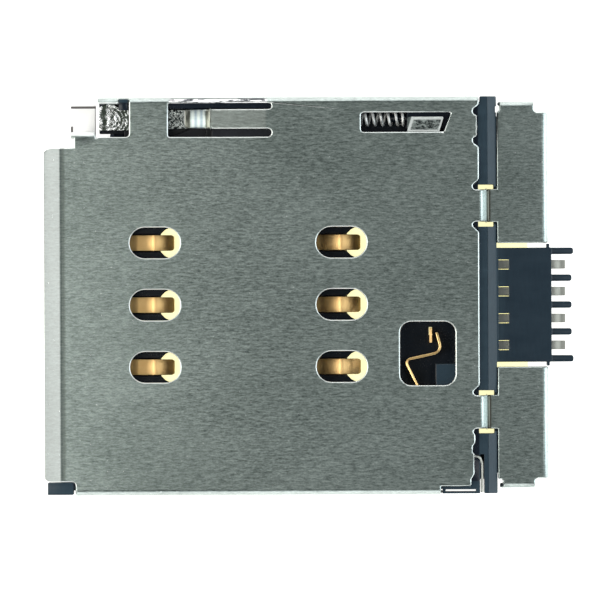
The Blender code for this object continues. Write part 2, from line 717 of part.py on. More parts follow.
def rear_edge_cutters(group):
    """Bend reliefs beside the bridges and the shallow recesses of the top plate's rear edge."""
    relief = 0.26 * MM
    past_x = REAR_EDGE_X + 0.30 * MM
    for number, (low, high) in enumerate(BRIDGES_Y, 1):
        for side, edge, away in (("low", low, -1), ("high", high, 1)):
            outer = edge + away * 0.42 * MM
            outline = rounded(
                [
                    (past_x, edge - away * TRIM),
                    (REAR_EDGE_X - relief, edge - away * TRIM, BULB_RADIUS),
                    (REAR_EDGE_X - relief, outer - away * relief, BULB_RADIUS),
                    (REAR_EDGE_X, outer, BULB_RADIUS),
                    (past_x, outer),
                ]
            )
            cut_through_plate(f"bend_relief_{number}_{side}", outline[::away], group)
    recess_high = SIDE_Y - 0.72 * MM
    recess_low = recess_high - 0.98 * MM
    nick = 0.19 * MM
    shallow = REAR_EDGE_X - 0.07 * MM
    deep = REAR_EDGE_X - 0.24 * MM
    soft = 0.06 * MM
    cut_through_plate(
        "rear_recess",
        rounded(
            [
                (past_x, recess_high + nick + 0.18 * MM),
                (REAR_EDGE_X, recess_high + nick + 0.18 * MM, BULB_RADIUS),
                (deep, recess_high + nick, BULB_RADIUS),
                (deep, recess_high, BULB_RADIUS),
                (shallow, recess_high - 0.06 * MM, soft),
                (shallow, recess_low + 0.06 * MM, soft),
                (deep, recess_low, BULB_RADIUS),
                (deep, recess_low - nick, BULB_RADIUS),
                (REAR_EDGE_X, recess_low - nick - 0.18 * MM, BULB_RADIUS),
                (past_x, recess_low - nick - 0.18 * MM),
            ]
        ),
        group,
    )
    corner_y = BRIDGES_Y[0][0]
    past_y = -SIDE_Y - THROUGH
    cut_through_plate(
        "rear_corner",
        rounded(
            [
                (past_x, corner_y - 0.10 * MM),
                (REAR_EDGE_X - 0.19 * MM, corner_y - 0.10 * MM, soft),
                (REAR_EDGE_X - 0.19 * MM, corner_y - 0.55 * MM, BULB_RADIUS),
                (REAR_EDGE_X - 0.30 * MM, corner_y - 0.72 * MM, BULB_RADIUS),
                (REAR_EDGE_X - 0.30 * MM, corner_y - 0.98 * MM, soft / 2),
                (REAR_EDGE_X - 0.23 * MM, corner_y - 1.00 * MM, soft / 2),
                (REAR_EDGE_X - 0.23 * MM, corner_y - 1.84 * MM, BULB_RADIUS),
                (REAR_EDGE_X - 0.36 * MM, -SIDE_Y + 0.62 * MM, BULB_RADIUS),
                (REAR_EDGE_X - 0.36 * MM, -SIDE_Y + 0.34 * MM, soft),
                (SKIRT_END_X - 3 * TRIM, -SIDE_Y + 0.34 * MM),
                (SKIRT_END_X - 3 * TRIM, past_y),
                (past_x, past_y),
            ]
        ),
        group,
    )


def rear_plate_cutters(group):
    """Rounded notches at the corners of the rear plates, where two folds would meet."""
    past = REAR_FLANGE_X + THROUGH
    notches = {
        "upper": (REAR_LIP_START_X + 0.02 * MM, 0.42 * MM),
        "lower": (REAR_LIP_START_X + 0.11 * MM, 0.36 * MM),
    }
    for name, side, edge, step in (
        ("upper", 1, REAR_HIGH_Y, 0.45 * MM),
        ("lower", -1, REAR_LOW_Y, 0.39 * MM),
    ):
        outer = edge + side * THROUGH
        inner = edge - side * step
        outline = rounded(
            [
                (REAR_LIP_END_X - 0.03 * MM, outer),
                (REAR_LIP_END_X - 0.03 * MM, inner, 0.12 * MM),
                (past, inner),
                (past, outer),
            ]
        )
        mesh = prism(f"rear_notch_{name}", [outline], -THROUGH, SHELL_TOP)
        put(mesh.name, mesh, group)
        notch_x, depth = notches[name]
        outline = rounded(
            [
                (REAR_PLATE_X - 0.10 * MM, outer),
                (REAR_PLATE_X - 0.10 * MM, edge - side * depth),
                (notch_x, edge - side * depth, 0.08 * MM),
                (notch_x, outer),
            ]
        )
        cut_through_plate(f"rear_front_notch_{name}", outline, group)


def side_wall_cutters(group):
    """Latch windows, and the lower edge of the side walls raised between the solder tabs."""
    margin = 0.05 * MM
    for side, name, latches, tabs, start, end in (
        (1, "upper", LATCHES_UPPER_X, TABS_UPPER_X, RELIEF_END_X, REAR_EDGE_X),
        (-1, "lower", LATCHES_LOWER_X, TABS_LOWER_X, PLATE_START_X, SKIRT_END_X),
    ):
        across = sorted((side * (SIDE_Y - 0.32 * MM), side * (SIDE_Y + 0.30 * MM)))
        for number, x in enumerate(latches, 1):
            half = LATCH_LENGTH / 2 + margin
            mesh = box(
                f"latch_window_{name}_{number}",
                (x - half, x + half),
                across,
                (LATCH_LOW - margin, LATCH_HIGH + margin),
            )
            put(mesh.name, mesh, group)
        edges = [start - MM]
        for x in tabs:
            edges += [x - SOLDER_TAB_LENGTH / 2, x + SOLDER_TAB_LENGTH / 2]
        edges.append(end + 0.1 * MM)
        if side > 0:
            edges[0] = RELIEF_END_X - 0.02 * MM
        for number in range(0, len(edges), 2):
            mesh = box(
                f"wall_edge_{name}_{number}",
                (edges[number], edges[number + 1]),
                across,
                (-THROUGH, SOLDER_TAB_DROP),
            )
            put(mesh.name, mesh, group)


def shell_additions(group):
    """The finger and the tongue, which the blank's slots leave standing, each bent its own way."""
    root = FINGER_ROOT_X + 0.10 * MM
    level = PLATE_UNDERSIDE + SHEET / 2
    tip = FINGER_TIP_X
    line = rounded(
        [
            (tip, level - FINGER_DROP),
            (tip + FINGER_TIP_LENGTH, level - FINGER_DROP, 0.20 * MM),
            (tip + FINGER_TIP_LENGTH + FINGER_SLOPE_LENGTH, level, 0.20 * MM),
            (root, level),
        ],
        closed=False,
    )
    low, high = FINGER_Y - FINGER_WIDTH / 2 + TRIM, FINGER_Y + FINGER_WIDTH / 2 - TRIM
    finger = prism("finger", [ribbon(line, SHEET - TRIM)], low, high, "Y")
    put("finger", finger, group)

    hinge = TRAPEZOID_LOW_Y
    free = TRAPEZOID_HIGH_Y - hinge - TONGUE_GAP
    root = -0.08 * MM
    end = TRAPEZOID_X + TRAPEZOID_LENGTH - 1.15 * TONGUE_GAP
    outline = rounded(
        [
            (TONGUE_X, root),
            (end - TRAPEZOID_SLANT, root),
            (end - TRAPEZOID_SLANT * TONGUE_GAP / free, free, 0.05 * MM),
            (TONGUE_X, free, 0.10 * MM),
        ]
    )
    tongue = prism("tongue", [outline], -SHEET / 2, SHEET / 2)
    turn = Matrix.Rotation(math.radians(-TONGUE_DROP_DEG), 4, "X")
    tongue.transform(Matrix.Translation((0, hinge, level - 0.02 * MM)) @ turn)
    put("tongue", tongue, group)


def make_shell(parts, helpers):
    shell = put("shell", shell_sheet(), parts, steel_material())
    thick = shell.modifiers.new("sheet", "SOLIDIFY")
    thick.thickness = SHEET
    thick.offset = -1.0
    thick.use_even_offset = True
    cutters = collection("shell_cutters", helpers)
    shell_cutters(cutters)
    additions = collection("shell_additions", helpers)
    shell_additions(additions)
    corners = collection("finger_corners", helpers)
    low, high = FINGER_Y - FINGER_WIDTH / 2, FINGER_Y + FINGER_WIDTH / 2
    corner_cutter("finger_lower_corner", FINGER_TIP_X, low, 0.20 * MM, -1, -1, corners)
    corner_cutter("finger_upper_corner", FINGER_TIP_X, high, 0.12 * MM, -1, 1, corners)
    return [
        (shell, "DIFFERENCE", cutters),
        (shell, "UNION", additions),
        (shell, "DIFFERENCE", corners),
    ]


# The moulded base

BASE_FRONT_X = MOUTH_X + BASE_FRONT_SETBACK
FOOT_CLEAR_Y = FOOT_FOLD_Y + FOLD_RADIUS - SHEET - FIT_GAP
BASE_CORNER_X = FOOT_END_X + 0.14 * MM
BASE_NICK_X = BASE_CORNER_X + 0.45 * MM
BASE_NICK_Y = FOOT_FOLD_Y + 0.19 * MM
END_WALL_OUTER_Y = SIDE_Y
FILL_Y = -SIDE_Y + 0.03 * MM
BLOCK_FRONT_X = MOUTH_X + 0.19 * MM
BLOCK_REAR_X = PLATE_START_X - 0.08 * MM
BLOCK_TOP = 1.40 * MM
CARD_END_X = CARD_SEAT_X + 2.10 * MM
STOP_X = CARD_SEAT_X + LOCK_RETURN + CARD_PLAY
BAY_FRONT_X = SLIDER_FRONT_X - 0.07 * MM
SLIDER_STEP_Y = CAM_Y - 0.57 * MM
LANE_LOW_Y = CAM_Y - 0.42 * MM
GUARD_X = (BAY_FRONT_X - 0.14 * MM, BAY_FRONT_X + 0.22 * MM)
GUARD_Y = (BAY_HIGH_Y - 0.06 * MM, SIDE_Y - 0.06 * MM)
GUARD_LOW = CRANK_UNDERSIDE - 0.25 * MM
GUARD_TOP = 1.38 * MM
SEAT_TOP = 1.05 * MM
LEDGE_DEPTH = 0.24 * MM  # of the ledges that the rear plates rest over
LEDGE_SETBACK = 0.62 * MM  # from a rear plate's end
TAIL_GROOVE_X = (REAR_EDGE_X + 0.01 * MM, REAR_EDGE_X + 0.17 * MM)
BLADE_X = CARD_SEAT_X + 0.99 * MM
BLADE_LOW_Y = ROWS_Y[2] + 0.96 * MM
TAIL_GROOVE_Y = BLADE_LOW_Y - 4.57 * MM
ANCHOR_Y = BLADE_LOW_Y - 4.17 * MM
SWITCH_LOW = FLOOR_TOP + 0.06 * MM

# The switch spring seen from above: its contact end, its elbow in the card's way, its tail
SWITCH_LINE = rounded(
    [
        (CARD_SEAT_X + 1.23 * MM, BLADE_LOW_Y + 0.42 * MM),
        (CARD_SEAT_X + 1.44 * MM, BLADE_LOW_Y - 0.38 * MM, 0.30 * MM),
        (CARD_SEAT_X - 0.08 * MM, BLADE_LOW_Y - 0.71 * MM, 0.18 * MM),
        (CARD_SEAT_X + 0.41 * MM, BLADE_LOW_Y - 1.70 * MM, 1.20 * MM),
        (CARD_SEAT_X + 1.25 * MM, BLADE_LOW_Y - 3.68 * MM, 1.00 * MM),
        (CARD_SEAT_X + 2.25 * MM, BLADE_LOW_Y - 4.53 * MM, 0.50 * MM),
        (REAR_EDGE_X + 0.01 * MM, BLADE_LOW_Y - 4.70 * MM, 0.16 * MM),
        (REAR_EDGE_X + 0.09 * MM, BLADE_LOW_Y - 4.95 * MM, 0.16 * MM),
        (REAR_EDGE_X + 0.09 * MM, -SIDE_Y + 0.06 * MM),
    ],
    closed=False,
)
SWITCH_TAIL_Y = -SIDE_Y + 0.60 * MM  # beyond this the strip reaches down to the board


def base_outline():
    comb_high = COMB_MIDDLE_Y + COMB_HALF
    comb_low = COMB_MIDDLE_Y - COMB_HALF
    nub = 0.12 * MM
    outline = [
        (BASE_FRONT_X, LIP_HIGH_Y - 0.05 * MM),
        (PLATE_START_X + 0.03 * MM, LIP_HIGH_Y - 0.05 * MM),
        (PLATE_START_X + 0.03 * MM, FOOT_CLEAR_Y),
        (BASE_NICK_X, FOOT_CLEAR_Y),
        (BASE_NICK_X, BASE_NICK_Y),
        (BASE_CORNER_X, BASE_NICK_Y),
        (BASE_CORNER_X, BASE_SIDE_Y),
        (REAR_EDGE_X + 0.05 * MM, BASE_SIDE_Y),
        (REAR_EDGE_X + 0.05 * MM, END_WALL_OUTER_Y),
        (END_WALL_X, END_WALL_OUTER_Y),
        (END_WALL_X, comb_high),
        (COMB_X - 0.20 * MM, comb_high),
        (COMB_X - 0.20 * MM, comb_high + 0.16 * MM),
        (COMB_X - 0.20 * MM + nub, comb_high + 0.16 * MM),
        (COMB_X - 0.20 * MM + nub, comb_high),
    ]
    for finger in range(5):
        y = COMB_MIDDLE_Y + (2 - finger) * TAIL_PITCH
        length = COMB_FINGER_LENGTH if finger in (0, 4) else COMB_FINGER_LENGTH - 0.07 * MM
        for x, side in ((COMB_X, 1), (COMB_X + length, 1), (COMB_X + length, -1), (COMB_X, -1)):
            if x == COMB_X and (finger, side) in ((0, 1), (4, -1)):
                continue
            radius = 0 if x == COMB_X else COMB_FINGER_RADIUS
            outline.append((x, y + side * COMB_FINGER_WIDTH / 2, radius))
    outline += [
        (COMB_X - 0.20 * MM + nub, comb_low),
        (COMB_X - 0.20 * MM + nub, comb_low - 0.16 * MM),
        (COMB_X - 0.20 * MM, comb_low - 0.16 * MM),
        (COMB_X - 0.20 * MM, comb_low),
        (END_WALL_X, comb_low),
        (END_WALL_X, FILL_Y),
        (SKIRT_END_X + 0.04 * MM, FILL_Y),
        (SKIRT_END_X + 0.04 * MM, -BASE_SIDE_Y),
        (BLOCK_REAR_X, -BASE_SIDE_Y),
        (BLOCK_REAR_X, -SIDE_Y + 0.04 * MM),
        (BLOCK_FRONT_X, -SIDE_Y + 0.04 * MM),
        (BLOCK_FRONT_X, LIP_LOW_Y - FIT_GAP),
        (BASE_FRONT_X, LIP_LOW_Y - FIT_GAP),
    ]
    return rounded(outline)


def put_box(name, x, y, z, group):
    put(name, box(name, x, y, z), group)


def card_bay_cutters(group):
    """The card's bay, as an outline that goes round the stops at its far end."""
    stop_width = 0.50 * MM
    outline = [(BASE_FRONT_X - MM, CARD_LOW_Y - CARD_PLAY), (STOP_X, CARD_LOW_Y - CARD_PLAY)]
    outline += [(STOP_X, ANCHOR_Y - 0.80 * MM), (STOP_X + 0.75 * MM, ANCHOR_Y)]
    block_high = ROWS_Y[2] + 0.08 * MM
    block_low = block_high - 1.15 * MM
    outline += [
        (CARD_END_X, ANCHOR_Y),
        (CARD_END_X, block_low),
        (CARD_END_X - 0.90 * MM, block_low),
        (CARD_END_X - 0.90 * MM, block_high),
        (CARD_END_X, block_high),
    ]
    for y in (ROWS_Y[1] + 0.54 * MM, ROWS_Y[0] + 0.20 * MM):
        outline += [
            (CARD_END_X, y),
            (STOP_X, y),
            (STOP_X, y + stop_width),
            (CARD_END_X, y + stop_width),
        ]
    outline += [(CARD_END_X, RAIL_LOW_Y), (BASE_FRONT_X - MM, RAIL_LOW_Y)]
    put("card_bay", prism("card_bay", [outline], FLOOR_TOP, THROUGH), group)
    put_box(
        "toe_opening",
        (TOE_FACE_X - CARD_PLAY, BAY_REAR_X),
        (RAIL_LOW_Y - 0.10 * MM, BAY_LOW_Y + 0.10 * MM),
        (FLOOR_TOP, THROUGH),
        group,
    )
    path = ribbon(SWITCH_LINE[:-1] + [(SWITCH_LINE[-1][0], -SIDE_Y - MM)], SWITCH_STRIP + 2 * FIT_GAP)
    low = SWITCH_LOW - FIT_GAP
    put("switch_groove", prism("switch_groove", [path], low, THROUGH), group)
    put_box(
        "switch_tail_slot",
        (REAR_EDGE_X, REAR_EDGE_X + 0.18 * MM),
        (-SIDE_Y - MM, SWITCH_TAIL_Y + FIT_GAP),
        (-THROUGH, THROUGH),
        group,
    )
    put_box("tail_groove", TAIL_GROOVE_X, (-SIDE_Y - MM, TAIL_GROOVE_Y), (low, THROUGH), group)


def mechanism_bay_cutters(group):
    outline = [
        (BAY_FRONT_X, BAY_LOW_Y),
        (BAY_REAR_X, BAY_LOW_Y),
        (BAY_REAR_X, LANE_LOW_Y),
        (SPRING_SEAT_X, LANE_LOW_Y),
        (SPRING_SEAT_X, BAY_HIGH_Y),
        (BAY_FRONT_X, BAY_HIGH_Y),
    ]
    put("mechanism_bay", prism("mechanism_bay", [outline], FLOOR_TOP, THROUGH), group)
    put_box(
        "seat_block_top",
        (SPRING_SEAT_X - FIT_GAP, TRAPEZOID_X + TRAPEZOID_LENGTH),
        (SLIDER_STEP_Y, BAY_HIGH_Y),
        (SEAT_TOP, THROUGH),
        group,
    )
    corner_low = BASE_NICK_Y - 0.03 * MM
    put_box(
        "crank_corner",
        (BASE_CORNER_X - MM, BAY_FRONT_X + 0.1 * MM),
        (corner_low, BAY_HIGH_Y),
        (FLOOR_TOP, THROUGH),
        group,
    )
    put_box(
        "crank_sweep",
        (BAY_FRONT_X - 0.35 * MM, BAY_FRONT_X + 0.1 * MM),
        (CAM_Y - CRANK_EYE_SETBACK - 0.30 * MM, corner_low + 0.1 * MM),
        (CRANK_UNDERSIDE - RUN_GAP, THROUGH),
        group,
    )
    put_box(
        "low_corner_wall",
        (BASE_CORNER_X - MM, BAY_FRONT_X + 0.20 * MM),
        (BAY_HIGH_Y - 0.1 * MM, SIDE_Y + MM),
        (CRANK_UNDERSIDE - RUN_GAP, THROUGH),
        group,
    )


def end_wall_cutters(group):
    slope_x = END_WALL_X - 0.37 * MM
    outline = [
        (slope_x, THROUGH),
        (slope_x, BASE_TOP - 0.02 * MM),
        (END_WALL_X, REAR_PLATE_TOP - 0.07 * MM),
        (END_WALL_X + 0.05 * MM, COMB_TOP),
        (COMB_X + MM, COMB_TOP),
        (COMB_X + MM, THROUGH),
    ]
    low, high = -SIDE_Y - MM, SIDE_Y + MM
    put("end_slope", prism("end_slope", [outline], low, high, "Y"), group)
    put_box(
        "finger_tops",
        (COMB_X + FIT_GAP, COMB_X + 2 * MM),
        (low, high),
        (COMB_FINGER_TOP, THROUGH),
        group,
    )
    for number, (low_y, high_y) in enumerate(BRIDGES_Y, 1):
        put_box(
            f"bridge_slot_{number}",
            (REAR_EDGE_X - 0.03 * MM, END_WALL_X - 0.12 * MM),
            (low_y - BRIDGE_GAP, high_y + BRIDGE_GAP),
            (-THROUGH, THROUGH),
            group,
        )
        put_box(
            f"bridge_saddle_{number}",
            (END_WALL_X - 0.20 * MM, END_WALL_X + 0.20 * MM),
            (low_y - BRIDGE_GAP / 2, high_y + BRIDGE_GAP / 2),
            (REAR_PLATE_TOP - SHEET - FIT_GAP, THROUGH),
            group,
        )
    put_box(
        "end_wall_nick",
        (END_WALL_X - 0.04 * MM, END_WALL_X + MM),
        (REAR_HIGH_Y - 0.45 * MM, REAR_HIGH_Y - 0.20 * MM),
        (-THROUGH, THROUGH),
        group,
    )
    put_box(
        "corner_slit",
        (SKIRT_END_X + 0.16 * MM, REAR_EDGE_X - 0.16 * MM),
        (FILL_Y + 0.08 * MM, FILL_Y + 0.17 * MM),
        (-THROUGH, THROUGH),
        group,
    )
    for number, y in enumerate(TAILS_Y, 1):
        x = END_WALL_X + 0.29 * MM
        half_x, half_y = LEAD_WINDOW[0] / 2, LEAD_WINDOW[1] / 2
        put_box(
            f"lead_window_{number}",
            (x - half_x, x + half_x),
            (y - half_y, y + half_y),
            (0.05 * MM, THROUGH),
            group,
        )


def lead_cutters(group):
    """The arms' slots and holes in the floor, and the grooves that the leads lie in below it."""
    top = LEAD_TOP + FIT_GAP
    for name, (x, y) in CONTACTS.items():
        half = CONTACT_WIDTH / 2 + 2 * FIT_GAP
        put_box(
            f"{name}_slot",
            (x - ARM_ROOT - 0.05 * MM, x + 0.50 * MM),
            (y - half, y + half),
            (LEAD_MIDDLE - STRIP / 2 - 2 * FIT_GAP, FLOOR_TOP + CARD_PLAY),
            group,
        )
        centre = (x + CONTACT_HOLE_OFFSET, y)
        hole = cylinder(f"{name}_hole", centre, CONTACT_HOLE_RADIUS, -THROUGH, FLOOR_TOP + CARD_PLAY)
        put(hole.name, hole, group)
    for name, line in LEADS.items():
        path = ribbon(line, LEAD_WIDTH + 2 * FIT_GAP)
        put(f"{name}_groove", prism(f"{name}_groove", [path], -THROUGH, top), group)
    for number, y in enumerate(TAILS_Y, 1):
        half = TAIL_WIDTH / 2 + FIT_GAP
        put_box(
            f"tail_groove_{number}",
            (LEAD_END_X - 0.10 * MM - FIT_GAP, COMB_X + MM),
            (y - half, y + half),
            (-THROUGH, top),
            group,
        )
    put_box(
        "blade_slot",
        (BLADE_X - SWITCH_STRIP / 2 - FIT_GAP, BLADE_X + SWITCH_STRIP / 2 + FIT_GAP),
        (BLADE_LOW_Y + 0.30 * MM, BLADE_LOW_Y + BLADE_LENGTH + FIT_GAP),
        (-THROUGH, FLOOR_TOP + CARD_PLAY),
        group,
    )


def base_additions(group):
    put_box(
        "mouth_block",
        (BLOCK_FRONT_X, BLOCK_REAR_X),
        (-SIDE_Y + 0.04 * MM, LIP_LOW_Y - FIT_GAP),
        (0.02 * MM, BLOCK_TOP),
        group,
    )
    hook = [
        (GUARD_Y[1], GUARD_LOW + FIT_GAP),
        (GUARD_Y[1], GUARD_TOP),
        (GUARD_Y[0], GUARD_TOP),
        (GUARD_Y[0], CRANK_TOP + RUN_GAP),
        (BASE_SIDE_Y - 0.02 * MM, CRANK_TOP + RUN_GAP),
        (BASE_SIDE_Y - 0.02 * MM, GUARD_LOW + FIT_GAP),
    ]
    put("guard_hook", prism("guard_hook", [hook], *GUARD_X, "X"), group)
    post = cylinder(
        "pivot_post",
        (PIVOT_X, CAM_Y),
        PIVOT_POST_RADIUS,
        FLOOR_TOP / 2,
        CRANK_UNDERSIDE - RUN_GAP,
    )
    put("pivot_post", post, group)
    for name, y in (
        ("upper", (UPPER_PLATE_Y + FIT_GAP, REAR_HIGH_Y - LEDGE_SETBACK)),
        ("lower", (REAR_LOW_Y + LEDGE_SETBACK, LOWER_PLATE_Y - FIT_GAP)),
    ):
        put_box(
            f"ledge_{name}",
            (END_WALL_X - 0.08 * MM, END_WALL_X + LEDGE_DEPTH),
            y,
            (0, REAR_PLATE_TOP - SHEET - FIT_GAP),
            group,
        )
    peg = cylinder(
        "seat_peg",
        (SPRING_Y, SPRING_Z),
        SPRING_PEG_DIAMETER / 2,
        SPRING_SEAT_X - SPRING_PEG_LENGTH,
        SPRING_SEAT_X + 0.30 * MM,
        "X",
    )
    put("seat_peg", peg, group)
    for side, name, latches in ((1, "upper", LATCHES_UPPER_X), (-1, "lower", LATCHES_LOWER_X)):
        outline = [
            (side * (BASE_SIDE_Y - 0.10 * MM), LATCH_LOW),
            (side * (BASE_SIDE_Y + LATCH_REACH), LATCH_LOW),
            (side * (BASE_SIDE_Y + 0.03 * MM), LATCH_HIGH),
            (side * (BASE_SIDE_Y - 0.10 * MM), LATCH_HIGH),
        ]
        for number, x in enumerate(latches, 1):
            low, high = x - LATCH_LENGTH / 2, x + LATCH_LENGTH / 2
            latch = prism(f"latch_{name}_{number}", [outline], low, high, "X")
            put(latch.name, latch, group)


def make_base(parts, helpers):
    material = principled("base_plastic", (0.016, 0.021, 0.028), 0.45, 0.0)
    base = put("base_housing", prism("base_housing", [base_outline()], 0, BASE_TOP), parts, material)
    cutters = collection("base_cutters", helpers)
    card_bay_cutters(cutters)
    mechanism_bay_cutters(cutters)
    end_wall_cutters(cutters)
    lead_cutters(cutters)
    additions = collection("base_additions", helpers)
    base_additions(additions)
    bore = collection("pivot_bore", helpers)
    radius = PIVOT_PIN_RADIUS + RUN_GAP
    hole = cylinder("pivot_hole", (PIVOT_X, CAM_Y), radius, FLOOR_TOP - FIT_GAP, THROUGH)
    put("pivot_hole", hole, bore)
    return [(base, "DIFFERENCE", cutters), (base, "UNION", additions), (base, "DIFFERENCE", bore)]


# The contacts and the switch

ARM_ROOT = 2.20 * MM  # from the crest back to where the arm leaves the floor
CONTACTS = {
    "contact_c1": (REAR_COLUMN_X, ROWS_Y[0]),
    "contact_c2": (REAR_COLUMN_X, ROWS_Y[1]),
    "contact_c3": (REAR_COLUMN_X, ROWS_Y[2]),
    "contact_c5": (FRONT_COLUMN_X, ROWS_Y[0]),
    "contact_c6": (FRONT_COLUMN_X, ROWS_Y[1]),
    "contact_c7": (FRONT_COLUMN_X, ROWS_Y[2]),
}
FRONT_PAD_X = (BASE_FRONT_X + 0.06 * MM, BASE_FRONT_X + 0.50 * MM)
LEAD_END_X = END_WALL_X + 0.15 * MM  # where a lead widens into its tail


def lead_lines():
    """The plan line of each lead under the floor, from its contact's root outwards."""
    lines = {}
    for name in ("contact_c5", "contact_c6", "contact_c7"):
        x, y = CONTACTS[name]
        lines[name] = [(x - ARM_ROOT + 0.15 * MM, y), (BASE_FRONT_X - 0.10 * MM, y)]
    lanes = {
        "contact_c1": [(ROWS_Y[0] - LANE_STEPS[0], None)],
        "contact_c2": [(ROWS_Y[1] + LANE_STEPS[1], SWITCH_JOG_X)],
        "contact_c3": [(ROWS_Y[2] + LANE_STEPS[2], SWITCH_JOG_X)],
    }
    for index, (name, lane) in enumerate(lanes.items()):
        x, y = CONTACTS[name]
        root = x - ARM_ROOT + LEAD_WIDTH / 2
        lane_y, jog = lane[0]
        line = [(root, y), (root, lane_y)]
        if jog is None:
            line[-1] = (root, TAILS_Y[index])
        else:
            end = TAILS_Y[index if name != "contact_c3" else 3]
            line += [(jog, lane_y), (jog + abs(end - lane_y), end)]
        lines[name] = line + [(LEAD_END_X, line[-1][1])]
    blade_y = BLADE_LOW_Y + BLADE_LENGTH - LEAD_WIDTH / 2
    lines["switch_blade"] = [
        (BLADE_X, blade_y),
        (BLADE_X + LEAD_WIDTH / 2, blade_y),
        (BLADE_X + LEAD_WIDTH / 2 + TAILS_Y[2] - blade_y, TAILS_Y[2]),
        (LEAD_END_X, TAILS_Y[2]),
    ]
    return lines


SWITCH_JOG_X = REAR_COLUMN_X + 2.40 * MM
LEADS = lead_lines()


def lead_solids(name, line, group):
    """The flat lead, and at its end the solder tail: the front ones are cut off at the mouth."""
    low, high = LEAD_MIDDLE - STRIP / 2, LEAD_MIDDLE + STRIP / 2
    y = line[-1][1]
    if line[-1][0] < BASE_FRONT_X:
        pad_start, pad_end = FRONT_PAD_X
        flat = [line[0], (pad_end, y)]
        profile = [
            (pad_end + 0.10 * MM, LEAD_MIDDLE),
            (pad_end - 0.10 * MM, LEAD_MIDDLE, 0.10 * MM),
            (pad_end - 0.25 * MM, STRIP / 2, 0.10 * MM),
            (pad_start, STRIP / 2),
        ]
        width = LEAD_WIDTH
    else:
        flat = line
        profile = [
            (LEAD_END_X - 0.10 * MM, LEAD_MIDDLE),
            (COMB_X + 0.15 * MM, LEAD_MIDDLE, 0.25 * MM),
            (COMB_X + 0.35 * MM, STRIP / 2, 0.20 * MM),
            (COMB_X + TAIL_LENGTH, STRIP / 2),
        ]
        width = TAIL_WIDTH
    put(f"{name}_lead", prism(f"{name}_lead", [ribbon(flat, LEAD_WIDTH)], low, high), group)
    strip = ribbon(rounded(profile, closed=False), STRIP)
    tail = prism(f"{name}_tail", [strip], y - width / 2, y + width / 2, "Y")
    put(tail.name, tail, group)


def make_contact(name, x, y, parts, helpers):
    """A stamped strip: an arm that rises to its crest, its tip, and the lead that carries it."""
    material = principled("contact_gold", (0.83, 0.60, 0.28), 0.30, 1.0)
    arm = rounded(
        [
            (x - ARM_ROOT, LEAD_MIDDLE),
            (x - 1.70 * MM, LEAD_MIDDLE, 0.60 * MM),
            (x - 0.75 * MM, 0.30 * MM, 0.60 * MM),
            (x - 0.02 * MM, CREST_HEIGHT + 0.02 * MM, 0.16 * MM),
            (x + 0.45 * MM, 0.62 * MM, 0.40 * MM),
            (x + 0.75 * MM, 0.30 * MM),
        ],
        closed=False,
    )
    low, high = y - CONTACT_WIDTH / 2, y + CONTACT_WIDTH / 2
    contact = put(name, prism(name, [ribbon(arm, STRIP)], low, high, "Y"), parts, material)
    group = collection(f"{name}_joined", helpers)
    lead_solids(name, LEADS[name], group)
    corners = collection(f"{name}_corners", helpers)
    slope = math.atan2(arm[-2][1] - arm[-1][1], arm[-1][0] - arm[-2][0])
    tip = arm[-1][0] + STRIP / 2 * math.sin(slope)
    for side in (-1, 1):
        edge = y + side * CONTACT_WIDTH / 2
        cutter = f"{name}_tip_{side + 2}"
        corner_cutter(cutter, tip, edge, CONTACT_TIP_RADIUS, 1, side, corners, -THROUGH)
    return [(contact, "UNION", group), (contact, "DIFFERENCE", corners)]


def make_switch(parts, helpers):
    material = principled("switch_gold", (0.72, 0.55, 0.32), 0.32, 1.0)
    strip = prism("switch_spring", [ribbon(SWITCH_LINE, SWITCH_STRIP)], SWITCH_LOW, SWITCH_HEIGHT)
    spring = put("switch_spring", strip, parts, material)
    spring_group = collection("switch_spring_joined", helpers)
    x = SWITCH_LINE[-1][0]
    put_box(
        "switch_spring_tail",
        (x - SWITCH_STRIP / 2, x + SWITCH_STRIP / 2),
        (-SIDE_Y + 0.06 * MM, SWITCH_TAIL_Y),
        (0, SWITCH_LOW + 0.2 * MM),
        spring_group,
    )

    material = principled("blade_gold", (0.72, 0.55, 0.32), 0.30, 1.0)
    half = SWITCH_STRIP / 2
    plate = box(
        "switch_blade",
        (BLADE_X - half, BLADE_X + half),
        (BLADE_LOW_Y, BLADE_LOW_Y + BLADE_LENGTH),
        (FLOOR_TOP + FIT_GAP, SWITCH_HEIGHT),
    )
    blade = put("switch_blade", plate, parts, material)
    blade_group = collection("switch_blade_joined", helpers)
    put_box(
        "blade_root",
        (BLADE_X - half, BLADE_X + half),
        (BLADE_LOW_Y + 0.32 * MM, BLADE_LOW_Y + BLADE_LENGTH),
        (LEAD_MIDDLE, FLOOR_TOP + 0.2 * MM),
        blade_group,
    )
    lead_solids("switch_blade", LEADS["switch_blade"], blade_group)
    return [(spring, "UNION", spring_group), (blade, "UNION", blade_group)]


# The push-push mechanism

DECK_LOW_Y = CAM_Y - CRANK_REACH * math.sin(CRANK_SWING) - CRANK_WIDTH / 2 - 0.15 * MM
DECK_END_X = FOLLOWER_X + CRANK_WIDTH / 2 + RUN_GAP
TRACK_FLOOR = CAM_DECK_TOP - TRACK_DEPTH


def follower_at(push):
    """Where the follower is, in the slider's frame, when the slider has gone this far in."""
    angle = CRANK_SWING * push / TRAVEL
    return (
        PIVOT_X + CRANK_REACH * math.cos(angle) - push,
        CAM_Y - CRANK_REACH * math.sin(angle),
    )


def follower_line(first, last, shift, steps=10):
    """The follower's path between two pushes, shifted sideways by an offset."""
    line = []
    for step in range(steps + 1):
        push = first + (last - first) * step / steps
        x, y = follower_at(push)
        nudge = 0.001 * MM
        ahead = follower_at(push + nudge)
        heading = math.atan2(ahead[1] - y, ahead[0] - x)
        line.append((x - shift * math.sin(heading), y + shift * math.cos(heading)))
    return line


